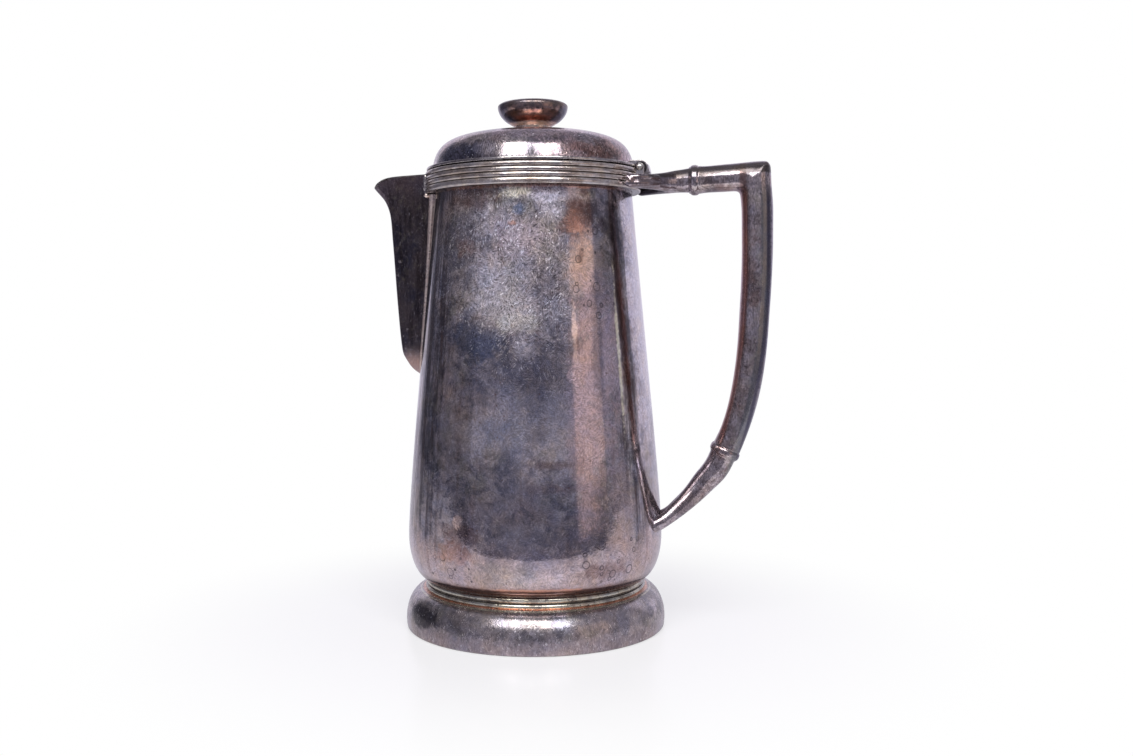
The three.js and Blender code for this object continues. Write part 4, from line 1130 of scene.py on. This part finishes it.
def makeBead():
    # two round reeds with a narrow groove between them
    middle = bead["middle"]
    outline = [(bead["inside"], bead["low"]), (middle - 0.05, bead["low"])]
    for bottom, rise in bead["reeds"]:
        for step in range(13):
            angle = math.pi * step / 12
            outline.append((middle + math.sin(angle), bottom + rise * (0.5 - 0.5 * math.cos(angle))))
    outline += [(bead["top"], bead["high"]), (bead["inside"], bead["high"])]
    finished("waistBead", turned("waistBead", outline), "bead", "pitcher", ["waist_bead"])


def makeFoot():
    wall, bore, top, ceiling = foot["wall"], foot["bore"], foot["top"], foot["ceiling"]
    inner = [(r - wall, min(z, ceiling)) for r, z in bezier(*foot["inner"], 20)]
    outline = [(radius, 0) for radius in foot["ring"]] + foot["edge"] + bezier(*foot["outer"], 26)
    outline += [(foot["step"], top), (bore, top), (bore, ceiling)] + inner[::-1]
    outline += [(foot["lip"], wall), (foot["ring"][0], wall)]
    finished("footShell", turned("foot", outline, 208), "foot", "pitcher", ["foot"])


# reeded band, cut at the spout and notched for the hinge

band = {
    "bore": 46.35, "groove": 49.4, "bottom": 200.45, "gap": 15.6, "reedRadius": 0.95,
    # height, flatness, copies and rise of each row of reeds: a wide one at the foot, and three above it
    "reeds": ((1.5, 1.6, 1, 0), (4.175, 1.22, 3, 2.35)),
    "notchHalf": 8.5, "notchBottom": 206.1, "notchTop": 214, "notchReach": (47.3, 54),
}


def notchBlock(bottom):
    half, top = band["notchHalf"], band["notchTop"]
    corners = ((-half, bottom), (half, bottom), (half, top), (-half, top))
    return lofted("notch", [[(x, y, z) for y, z in corners] for x in band["notchReach"]])


def makeBand():
    low, top = band["bottom"] + 0.15, pot["mouth"] - 0.1
    outer = band["groove"] + 0.12
    section = softened([(band["bore"], low), (outer, low), (outer, top), (band["bore"], top)], 0.25)
    span = math.pi - math.radians(band["gap"])
    ring = arcPoints((0, 0), 1, -span, span, 180)
    parts = [lofted("bandCore", [[(r * x, r * y, z) for r, z in section] for x, y in ring])]
    line = arcPoints((0, 0), band["groove"] + 0.2, -span, span, 180)
    for height, flatness, copies, rise in band["reeds"]:
        path = [(x, y, band["bottom"] + height) for x, y in line]
        radii = [band["reedRadius"]] * len(path)
        parts.append(barPiece("bandReeds", path, radii, 20, flatness, copies, rise, True))
    notch = notchBlock(band["notchBottom"])
    made = joined("rimBand", [carved(part, notch) for part in parts])
    finished("rimBand", made, "band", "pitcher", ["rim_band"], 40)


# spout

spout = {"top": 5.5, "bottom": 97.2, "wall": 1.2, "nose": 3.4, "rows": 110, "flatSteps": 16, "noseSteps": 10}
spoutRows = [
    # drop below the mouth, stand-off, half width, dip at the wall
    [5.5, 32.1, 13.7, 5.0], [13, 25.9, 13.3, 1.6], [19, 23.4, 13, 0.4], [31, 21.3, 12.2, 0],
    [65, 15.7, 9.9, 0], [82.5, 12.3, 9.1, 0], [85, 11.5, 8.8, 0], [88.1, 9.5, 8.3, 0],
    [91, 7.2, 7.4, 0], [92.9, 5.1, 6.6, 0], [94.6, 2.4, 5.6, 0], [96.2, -0.6, 4.6, 0],
    [98, -3.2, 3.7, 0],
]
seam = {
    "top": 10.2, "bottom": 95.8, "sink": 0.35, "out": (1.35, 0.7), "radius": (1.75, 1.0), "bandEnd": 14.9,
    "strip": (200.4, 209.6), "stripReach": (49.5, 50.5), "stripRadius": 1.15,
    "lump": (198.7, 201.2), "lumpReach": 49.9, "lumpRadius": (0.25, 1.15),
}


def spoutSide(drop):
    # one flat side of the V: half width at the wall, the wall's reach there, the flat's length and its slope
    standOff, halfWidth = smoothValue(spoutRows, drop, 1), smoothValue(spoutRows, drop, 2)
    wall = wallRadius(pot["mouth"] - drop)
    reach = math.sqrt(wall * wall - halfWidth * halfWidth)
    flat = wall + standOff - spout["nose"] - reach
    slope = math.acos(min(1, spout["nose"] / math.hypot(halfWidth, flat))) - math.atan2(flat, halfWidth)
    return halfWidth, reach, flat, slope


def spoutSection(drop, inset):
    halfWidth, reach, flat, slope = spoutSide(drop)
    dip = smoothValue(spoutRows, drop, 3)
    radius = spout["nose"] - inset
    noseX = reach + flat
    start = (reach - inset * math.sin(slope) - 0.35, halfWidth - inset * math.cos(slope))
    end = (noseX + radius * math.sin(slope), radius * math.cos(slope))
    half = []
    for step in range(spout["flatSteps"]):
        share = step / spout["flatSteps"]
        half.append((lerp(start[0], end[0], share), lerp(start[1], end[1], share)))
    half += arcPoints((noseX, 0), radius, math.pi / 2 - slope, 0, spout["noseSteps"])
    made = []
    for x, y in half + [(x, -y) for x, y in half[-2::-1]]:
        share = min(max((x - reach) / (flat + spout["nose"]), 0), 1)
        made.append((-x, y, pot["mouth"] - drop + dip * (1 - share ** 9)))
    return made


def makeSpout():
    rings = []
    for row in range(spout["rows"] + 1):
        drop = lerp(spout["top"], spout["bottom"], (row / spout["rows"]) ** 1.1)
        rings.append(spoutSection(drop, 0) + spoutSection(drop, spout["wall"])[::-1])
    data = bevelled(lofted("spout", rings), 0.3, 50)
    finished("spoutShell", data, "spout", "pitcher", ["spout"], 45)


def makeSeams():
    solder, strips = [], []
    for side in (-1, 1):
        # solder drawn along the joint between spout and wall, thick at the band
        points, radii = [], []
        for step in range(101):
            drop = lerp(seam["top"], seam["bottom"], step / 100)
            halfWidth, reach, flat, slope = spoutSide(drop)
            out = lerp(*seam["out"], min(1, step / 60))
            run, rise = math.cos(slope), math.sin(slope)
            points.append((-(reach + run * out - rise * seam["sink"]),
                           side * (halfWidth - rise * out - run * seam["sink"]), pot["mouth"] - drop))
            wander = 0.04 * math.sin(step * 0.9) * math.sin(step * 0.23)
            radii.append(lerp(*seam["radius"], min(1, step / 45)) + 0.2 * math.exp(-step / 4) + wander)
        solder.append(barPiece("seam", points, radii, 16))
        # the end of the band, closed by a plain upright strip with a lump of solder under it
        angle = math.pi - side * math.radians(seam["bandEnd"])
        points, radii = [], []
        for step in range(41):
            share = step / 40
            wander = 0.04 * math.sin(step * 0.7 + side)
            reach = lerp(*seam["stripReach"], min(1, share * 3)) + wander
            height = lerp(*seam["strip"], share)
            points.append((reach * math.cos(angle), reach * math.sin(angle) + wander, height))
            radii.append((seam["stripRadius"] + wander) * math.sqrt(1 - 0.7 * share ** 14))
        strips.append(barPiece("strip", points, radii, 16))
        shares = [step / 12 for step in range(13)]
        x, y = seam["lumpReach"] * math.cos(angle), seam["lumpReach"] * math.sin(angle)
        lump = [(x, y, lerp(*seam["lump"], share)) for share in shares]
        thin, thick = seam["lumpRadius"]
        radii = [thin + thick * math.sin(math.pi * share) ** 0.6 for share in shares]
        solder.append(barPiece("seam", lump, radii, 16))
    finished("spoutSeams", joined("seams", solder), "seam", "pitcher")
    finished("bandEnds", joined("strips", strips), "flange", "pitcher")


# handle

arm = {"root": 204.3, "corner": 206.05, "reach": 102.5, "node": 75.5}
armSizes = [[0, 5.95], [0.25, 6.2], [0.5, 6.4], [0.72, 6.65], [1, 6.7]]
grip = {"bend": 172.0, "pull": 30.0, "endPull": 28.0}
gripSizes = [
    # share of the way down, radius, outward shift
    [0, 6.95, 0], [0.09, 7.3, 0.1], [0.2, 7.1, 1.1], [0.32, 7.0, 1.0], [0.44, 6.85, 0.5], [0.56, 6.75, 0],
    [0.75, 6.5, 0], [0.93, 6.1, 0], [1, 6.35, 0],
]
mitre = {"block": 60, "overlap": 0.3, "cut": 8.5, "width": 5, "reach": 18, "factor": 0.7, "rounds": 50}
lowerNode = {"reach": 88.4, "height": 81.4, "lean": math.radians(27)}
nodeShape = [
    # radius, half length
    (0, 2.55), (5.5, 2.55), (6.0, 2.45), (6.2, 2.05), (6.35, 1.75), (6.62, 1.5), (6.82, 1.15), (6.93, 0.7),
    (6.97, 0.25),
]
upperFork = {
    "tip": 52.3, "angle": math.radians(25), "fingers": ((205.0, 1.45), (202.3, 1.6)), "bandSpace": 50.2,
}
lowerFork = {"foot": 47.6, "sink": 2.0, "angle": math.radians(10.5)}


def armHeight(reach):
    return lerp(arm["root"], arm["corner"], (reach - 61) / (arm["reach"] - 61))


def mitred(data, side):
    # cuts one length of the handle along the mitre, a little past it, so that the two lengths melt together
    block = bmesh.new()
    bmesh.ops.create_cube(block, size=mitre["block"] * mm)
    cutter = meshMade("mitre", block)
    away = Matrix.Translation((side * (mitre["block"] / 2 + mitre["overlap"]) * mm, 0, 0))
    corner = Matrix.Translation(spot(arm["reach"], 0, arm["corner"]))
    cutter.transform(corner @ Matrix.Rotation(math.pi / 4, 4, "Y") @ away)
    return carved(data, cutter)


def armBar():
    start, end = arm["node"] + 1.2, arm["reach"] + 11
    points, radii = [], []
    for step in range(41):
        reach = lerp(start, end, step / 40)
        points.append((reach, 0, armHeight(reach)))
        radii.append(smoothValue(armSizes, step / 40, 1) + 0.45 * math.exp(-((reach - start) / 2.6) ** 2))
    return mitred(barPiece("arm", points, radii, 56), 1)


def gripBar():
    run = (-math.sin(lowerNode["lean"]), -math.cos(lowerNode["lean"]))
    end = (lowerNode["reach"] - run[0] * 1.2, lowerNode["height"] - run[1] * 1.2)
    corner, bend = arm["reach"], grip["bend"]
    line = [(corner, lerp(arm["corner"] + 11, bend, step / 30)) for step in range(30)]
    pull = (end[0] - run[0] * grip["endPull"], end[1] - run[1] * grip["endPull"])
    line += bezier((corner, bend), (corner, bend - grip["pull"]), pull, end, 60)
    points, radii = [], []
    for place, (reach, height) in enumerate(line):
        share = place / (len(line) - 1)
        points.append((reach + smoothValue(gripSizes, share, 2), 0, height))
        radii.append(smoothValue(gripSizes, share, 1))
    return mitred(barPiece("grip", points, radii, 56), -1)


def melted(name, bars, voxel=0.32, rounds=6):
    # the bars become one casting with soft crotches
    piece = scratchObject(joined(name, bars))
    melt = piece.modifiers.new("melt", "REMESH")
    melt.mode = "VOXEL"
    melt.voxel_size = voxel * mm
    smooth = piece.modifiers.new("smooth", "SMOOTH")
    smooth.factor = 0.6
    smooth.iterations = rounds
    settled(piece)
    return piece


def eased(piece):
    # rounds the casting where the mitre runs through it
    corner = spot(arm["reach"], 0, arm["corner"])
    group = piece.vertex_groups.new(name="mitre")
    for vertex in piece.data.vertices:
        off = (vertex.co - corner) / mm
        over = (off.x + off.z) / math.sqrt(2) - mitre["cut"]
        if over > 0:
            vertex.co -= Vector((1, 0, 1)) * over / math.sqrt(2) * mm
        away = abs(off.x - off.z) / math.sqrt(2)
        if away < mitre["width"] and off.length < mitre["reach"]:
            group.add([vertex.index], min(1, (mitre["width"] - away) / 3), "REPLACE")
    smooth = piece.modifiers.new("ease", "SMOOTH")
    smooth.factor = mitre["factor"]
    smooth.iterations = mitre["rounds"]
    smooth.vertex_group = "mitre"
    settled(piece)


def castPiece(name, piece, replaces, *cutters):
    data = piece.data
    dropped(piece)
    if cutters:
        data = carved(data, *cutters)
    finished(name, data, "casting", "pitcher", replaces, 50)


def makeHandle():
    piece = melted("handleBend", [armBar(), gripBar()], 0.42, 16)
    eased(piece)
    castPiece("handleBend", piece, ["handle_arm", "handle_grip"])


def makeNode(name, centre, turn, replaces):
    # a bamboo joint: one broad round ring with a small shoulder on each side
    outline = [(radius, -half) for radius, half in nodeShape] + nodeShape[::-1]
    data = tipped(turned(name, outline, 72, closed=False), centre, turn, "Y")
    finished(name, data, "casting", "pitcher", replaces)


def ovalBar(name, rows, steps=60, sides=40):
    # a skin round a path of rows: share, x, y, z, half width, half height
    line = [[smoothValue(rows, step / steps, column) for column in range(1, 6)] for step in range(steps + 1)]
    rings = []
    for place, (x, y, z, wide, tall) in enumerate(line):
        before, after = line[max(place - 1, 0)], line[min(place + 1, steps)]
        run = (Vector(after[:3]) - Vector(before[:3])).normalized()
        side = run.cross(Vector((0, 0, 1))).normalized()
        up = side.cross(run)
        ring = []
        for step in range(sides):
            turn = math.tau * step / sides
            ring.append(tuple(Vector((x, y, z)) + side * wide * math.cos(turn) + up * tall * math.sin(turn)))
        rings.append(ring)
    return lofted(name, rings)


def makeUpperFork():
    node, tip = arm["node"], upperFork["tip"]
    tipX, tipY = tip * math.cos(upperFork["angle"]), tip * math.sin(upperFork["angle"])
    bars = []
    for side in (-1, 1):
        # share, x, y, z, half width, half height
        bars.append(ovalBar("prong", [
            [0, node - 1.0, side * 0.1, armHeight(node), 5.75, 5.8],
            [0.12, 71.0, side * 0.5, armHeight(71), 5.0, 5.35],
            [0.26, 66.8, side * 2.0, armHeight(67) - 0.1, 4.2, 4.9],
            [0.42, 62.8, side * 5.6, armHeight(62.5) - 0.4, 3.3, 4.3],
            [0.60, 58.0, side * 11.2, 203.6, 2.6, 3.6],
            [0.80, 52.8, side * 16.6, 203.3, 2.2, 3.1],
            [0.94, tipX + 0.9, side * (tipY - 1.0), 203.1, 2.0, 2.8],
            [1, tipX, side * tipY, 203.0, 1.5, 2.3],
        ]))
        for height, size in upperFork["fingers"]:
            bars.append(ovalBar("finger", [
                [0, 45.9, side * 21.4, height - 0.2, size * 0.5, size * 0.5],
                [0.15, 47.3, side * 21.3, height - 0.1, size * 0.85, size * 0.85],
                [0.45, 51.3, side * 20.2, height, size, size],
                [0.75, 55.4, side * 17.6, height + 0.1, size, size],
                [1, 60.2, side * 11.6, height + 0.2, size * 0.9, size * 0.9],
            ], 36, 24))
    radius = upperFork["bandSpace"]
    inside = turned("bandSpace", [(0, 190), (radius, 190), (radius, 216), (0, 216)], closed=False)
    castPiece("upperFork", melted("fork", bars), ["handle_upper_fork"], inside)


def makeLowerFork():
    run = (-math.sin(lowerNode["lean"]), -math.cos(lowerNode["lean"]))
    startX, startZ = lowerNode["reach"] + run[0], lowerNode["height"] + run[1]
    reach = wallRadius(lowerFork["foot"]) - lowerFork["sink"]
    footX, footY = reach * math.cos(lowerFork["angle"]), reach * math.sin(lowerFork["angle"])
    bars = []
    for side in (-1, 1):
        bars.append(ovalBar("prong", [
            [0, startX, side * 0.1, startZ, 5.9, 5.9],
            [0.20, startX + run[0] * 7.5, side * 0.4, startZ + run[1] * 7.5, 5.7, 5.8],
            [0.42, 78.8, side * 1.2, 67.1, 5.0, 5.3],
            [0.60, 73.5, side * 3.0, 61.1, 4.1, 4.5],
            [0.78, 67.0, side * 6.2, 55.0, 3.4, 3.7],
            [0.92, 61.2, side * 9.2, 50.4, 3.0, 3.1],
            [1, footX, side * footY, lowerFork["foot"], 3.3, 3.3],
        ]))
    space = [(0, pot["bottom"])] + [(radius - 0.3, z) for radius, z in outerWall] + [(0, pot["neckBottom"])]
    inside = turned("potSpace", space, closed=False)
    castPiece("lowerFork", melted("fork", bars), ["handle_lower_fork"], inside)


# hinge

hinge = {
    "reach": 51.2, "height": 210.9, "knuckle": 3.6, "half": 4.2, "ear": 1.95, "earSpan": (4.5, 8.2),
    "saddle": (-0.9, 2.4, -7.2, -4.75), "strap": 1.8, "strapEnd": -11, "strapCrest": (-8.5, 0.3),
    "tail": (4.1, -1.8), "bore": 0.97, "domeGap": 0.15,
}
pinShape = [(0, -9.1), (0.5, -9.1), (0.95, -8.98), (1.35, -8.7), (1.5, -8.4), (1.45, -8.2), (0.9, -8.15)]


def extruded(name, outline, low, high, bevel=0.3):
    data = lofted(name, [[(x, y, z) for x, z in outline] for y in (low, high)])
    return smoothShaded(bevelled(data, bevel, 40), 40)


def onHinge(name, outline, sides):
    data = turned(name, outline, sides, closed=False)
    return tipped(data, (hinge["reach"], 0, hinge["height"]), math.pi / 2, "X")


def makeHinge():
    centre = (hinge["reach"], hinge["height"])
    cx, cz = centre
    near, far, low, high = hinge["saddle"]
    ear = [(cx - hinge["ear"], cz + low), (cx + hinge["ear"], cz + low)]
    ear += arcPoints(centre, hinge["ear"], 0, math.pi, 20)
    base = [(cx + near, cz + low), (cx + far, cz + low), (cx + far, cz + high), (cx + near, cz + high)]
    inner, outer = hinge["earSpan"]
    parts = [extruded("bracket", base, -outer, outer), extruded("bracket", ear, inner, outer),
             extruded("bracket", ear, -outer, -inner)]
    finished("hingeBracket", joined("bracket", parts), "hinge", "pitcher", ["hinge_bracket"], 40)

    # pin with peened ends
    pin = onHinge("hingePin", pinShape + [(radius, -z) for radius, z in pinShape[::-1]], 40)
    finished("hingePin", pin, "steel", "pitcher", ["hinge_pin"])

    # leaf: strap on the dome, knuckle and stop tail
    r, tail = hinge["knuckle"], hinge["tail"]
    strapBottom = r - hinge["strap"]
    tailAngle = math.atan2(tail[1], tail[0])
    spread = math.acos(r / math.hypot(*tail))
    crestX, crestZ = hinge["strapCrest"]
    end = cx + hinge["strapEnd"]
    outline = [(cx, cz + r), (cx + crestX, cz + r + crestZ), (end, cz + r), (end, cz + strapBottom)]
    outline += arcPoints(centre, r, math.pi - math.asin(strapBottom / r), tailAngle - spread + math.tau, 30)
    outline += [(cx + tail[0], cz + tail[1])]
    outline += arcPoints(centre, r, tailAngle + spread, math.pi / 2 - 0.05, 14)
    leaf = extruded("hingeLeaf", outline, -hinge["half"], hinge["half"], 0.35)
    space = [(0, 200)] + [(radius - hinge["domeGap"], z) for radius, z in domeOutline(0)] + [(0, 229.3)]
    bore = onHinge("bore", [(0, -6), (hinge["bore"], -6), (hinge["bore"], 6), (0, 6)], 32)
    leaf = carved(leaf, turned("domeSpace", space, 160, closed=False), bore)
    finished("hingeLeaf", leaf, "hinge", "lid", ["hinge_leaf"], 40)


# lid and knob

lid = {"reach": 47.1, "wall": 1.0, "edge": 212.2, "hole": 2.5, "crown": 229.7, "notchBottom": 206}
domePoints = [
    # reach and height, and how far each of them follows the wall's thickness
    (47.1, 212.6, 1, 0), (45.1, 225.2, 1, 1), (38.1, 227.6, 1, 1), (12, 229.65, 0, 1),
]
flangeShape = [(43.2, 210.9), (49.9, 210.9), (49.9, 212.3), (43.2, 212.3)]
bezelShape = [(43.2, 205.6), (44.4, 205.6), (44.4, 211), (43.2, 211)]
collarShape = [(2.5, 229.5), (8.7, 229.5), (8.4, 230.8), (8.6, 232.2), (2.5, 232.2)]
knob = {
    "bowl": ((8.7, 232.2), (13.4, 234.3), (16.4, 237.5), (16.4, 241.3)),
    "crown": ((16.4, 241.3), (16.4, 242.8), (13, 243.6), (9.7, 243.6)),
    "hole": [(0, 238.7), (2.5, 238.7), (2.5, 232.1), (8.2, 232.1)],
    "top": [(4, 243.55), (0, 243.5)],
}


def domeOutline(inset):
    return bezier(*[(reach - inset * a, z - inset * b) for reach, z, a, b in domePoints], 36)


def makeLid():
    reach, hole, crown, wall = lid["reach"], lid["hole"], lid["crown"], lid["wall"]
    outline = [(reach, lid["edge"])] + domeOutline(0)[1:] + [(hole, crown), (hole, crown - wall)]
    outline += domeOutline(wall)[:0:-1] + [(reach - wall, lid["edge"])]
    finished("lidDome", turned("lidDome", outline, 208), "lid", "lid", ["lid_dome"])
    flange = carved(turned("flange", softened(flangeShape, 0.55), 208), notchBlock(lid["notchBottom"]))
    finished("lidFlange", flange, "flange", "lid", ["lid_flange"], 40)
    bezel = turned("lidBezel", softened(bezelShape, 0.3), 160)
    finished("lidBezel", bezel, "flange", "lid", ["lid_bezel"])


def makeKnob():
    collar = turned("knobCollar", softened(collarShape, 0.3), 96)
    finished("knobCollar", collar, "copper", "lid", ["knob_collar"])
    outline = knob["hole"] + bezier(*knob["bowl"], 26) + bezier(*knob["crown"], 14)[1:] + knob["top"]
    bowl = turned("knobBowl", outline, 128, closed=False)
    finished("knobBowl", bowl, "knob", "lid", ["knob"])


makeBody()
makeStrainer()
makeBead()
makeFoot()
print("vessel made")
makeBand()
print("band made")
makeSpout()
makeSeams()
print("spout made")
makeHandle()
makeNode("upperNode", (arm["node"], 0, armHeight(arm["node"])), math.pi / 2, ["handle_upper_node"])
makeNode("lowerNode", (lowerNode["reach"], 0, lowerNode["height"]), lowerNode["lean"], ["handle_lower_node"])
makeUpperFork()
makeLowerFork()
print("handle made")
makeHinge()
makeLid()
makeKnob()
print("lid made")

for node, tone in (("knob_stud", "steel"), ("knob_washer", "copper"), ("knob_nut", "steel")):
    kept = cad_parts[node]
    for place in range(len(kept.data.materials)):
        kept.material_slots[place].material = finishes[tone]


# stage, lights and camera; angles are in degrees from the camera, positive towards the handle

studio = {
    "room": (0.27, 0.262, 0.325), "cloth": (0.86, 0.85, 0.87), "tableFront": 0.19, "tableBack": -2.2,
    "tableHalf": 1.6, "softboxRadiance": 8.0, "softboxDistance": 1.2, "softboxAim": 0.12,
}
stageStrips = [
    # name, angles at its ends, distance, heights, glow, strength, lean
    ("backdrop", (113, 221), 1.7, (-0.3, 1.6), (0.80, 0.76, 0.90), 1.0, 6.0),
    ("sideBoard", (37, 66), 0.9, (-0.02, 0.5), (0.82, 0.69, 0.67), 0.72, 0.0),
    ("sideStand", (92.5, 98), 0.9, (-0.1, 0.5), (0.8, 0.78, 0.86), 0.7, 0.0),
    ("sideShade", (225, 300), 1.5, (-0.3, 1.6), (0.13, 0.125, 0.165), 1.0, 0.0),
]
softboxes = [
    # name, angle, elevation, width, height
    ("softboxLeft", -22, 43.5, 0.50, 0.67),
    ("softboxRight", 17.5, 41.5, 0.48, 0.60),
]
camera = {"focal": 1199 / 1133, "distance": 0.564, "height": 0.146, "roll": -0.33, "shift": (0.0287, -0.0600)}


def around(angle, distance, height):
    turn = math.radians(angle)
    x = towardView[0] * math.cos(turn) + acrossView[0] * math.sin(turn)
    y = towardView[1] * math.cos(turn) + acrossView[1] * math.sin(turn)
    return Vector((potAxis + x * distance, y * distance, height))


def staged(name, mesh, material):
    data = meshMade(name, mesh)
    data.materials.append(material)
    made = linked(name, data)
    return made


def shownWhite(sheet, kind, output, share, felt):
    # plain white to the camera, and something else to the light that reaches the pot
    seen = sheet.node(kind, None, {"Color": (1, 1, 1), "Strength": 1.0})
    mixed = sheet.node("ShaderNodeMixShader", None, {0: share, 1: felt, 2: seen})
    sheet.node(output, None, {0: mixed})


def stageStrip(name, angles, distance, heights, glow, strength, lean):
    # part of an upright cylinder about the pot; lean turns its upper edge further round at both ends
    mesh = bmesh.new()
    steps = 24
    rows = []
    for height, turn in zip(heights, (0.0, lean)):
        places = [lerp(angles[0] + turn, angles[1] - turn, step / steps) for step in range(steps + 1)]
        rows.append([mesh.verts.new(around(place, distance, height)) for place in places])
    for step in range(steps):
        mesh.faces.new([rows[0][step], rows[0][step + 1], rows[1][step + 1], rows[1][step]])
    material = bpy.data.materials.new(name + "Glow")
    sheet = Sheet(emptyTree(material))
    felt = sheet.node("ShaderNodeEmission", None, {"Color": glow, "Strength": strength})
    toCamera = sheet.node("ShaderNodeLightPath")
    shownWhite(sheet, "ShaderNodeEmission", "ShaderNodeOutputMaterial", toCamera, felt)
    board = staged(name, mesh, material)
    board.visible_camera = name == "backdrop"


def makeTable():
    # a white table whose front edge is close to the pot
    mesh = bmesh.new()
    corners = []
    half, near, far = studio["tableHalf"], studio["tableFront"], studio["tableBack"]
    for side, front in ((-half, near), (half, near), (half, far), (-half, far)):
        x = potAxis + acrossView[0] * side + towardView[0] * front
        y = acrossView[1] * side + towardView[1] * front
        corners.append(mesh.verts.new((x, y, -0.0002)))
    mesh.faces.new(corners)
    material = bpy.data.materials.new("whiteTable")
    sheet = Sheet(emptyTree(material))
    x, y, z = sheet.axes(sheet.node("ShaderNodeTexCoord", out="Object"))
    reach = ((x - potAxis) * (x - potAxis) + y * y).math("SQRT")
    share = sheet.node("ShaderNodeLightPath") * (reach.rise(0.07, 0.22) * 0.4 + 0.6)
    cloth = sheet.node("ShaderNodeBsdfPrincipled", None, {"Base Color": studio["cloth"], "Roughness": 0.22})
    shownWhite(sheet, "ShaderNodeEmission", "ShaderNodeOutputMaterial", share, cloth)
    staged("table", mesh, material)


def makeRoom():
    world = bpy.data.worlds.new("room")
    bpy.context.scene.world = world
    sheet = Sheet(emptyTree(world))
    felt = sheet.node("ShaderNodeBackground", None, {"Color": studio["room"], "Strength": 1.0})
    toCamera = sheet.node("ShaderNodeLightPath")
    shownWhite(sheet, "ShaderNodeBackground", "ShaderNodeOutputWorld", toCamera, felt)


def softbox(name, angle, elevation, width, height):
    lamp = bpy.data.lights.new(name, "AREA")
    lamp.shape = "RECTANGLE"
    lamp.size = width
    lamp.size_y = height
    lamp.energy = studio["softboxRadiance"] * math.pi * width * height
    made = linked(name, lamp)
    rise, distance, aim = math.radians(elevation), studio["softboxDistance"], studio["softboxAim"]
    made.location = around(angle, distance * math.cos(rise), aim + distance * math.sin(rise))
    made.rotation_mode = "QUATERNION"
    made.rotation_quaternion = (Vector((potAxis, 0, aim)) - made.location).to_track_quat("-Z", "Y")


def makeCamera():
    lens = bpy.data.cameras.new("camera")
    lens.sensor_width = 36
    lens.lens = camera["focal"] * lens.sensor_width
    lens.clip_start = 0.01
    lens.clip_end = 20
    # the photograph is cropped low and to the right of the lens's axis
    lens.shift_x, lens.shift_y = camera["shift"]
    made = linked("camera", lens)
    made.location = around(0, camera["distance"], camera["height"])
    forward = Vector((-towardView[0], -towardView[1], 0))
    turn = forward.to_track_quat("-Z", "Y").to_matrix().to_4x4()
    made.rotation_mode = "QUATERNION"
    made.rotation_quaternion = (turn @ Matrix.Rotation(math.radians(camera["roll"]), 4, "Z")).to_quaternion()
    bpy.context.scene.camera = made


for strip in stageStrips:
    stageStrip(*strip)
makeTable()
makeRoom()
for box in softboxes:
    softbox(*box)
makeCamera()
bpy.context.scene.view_settings.view_transform = "Standard"
print("stage set")
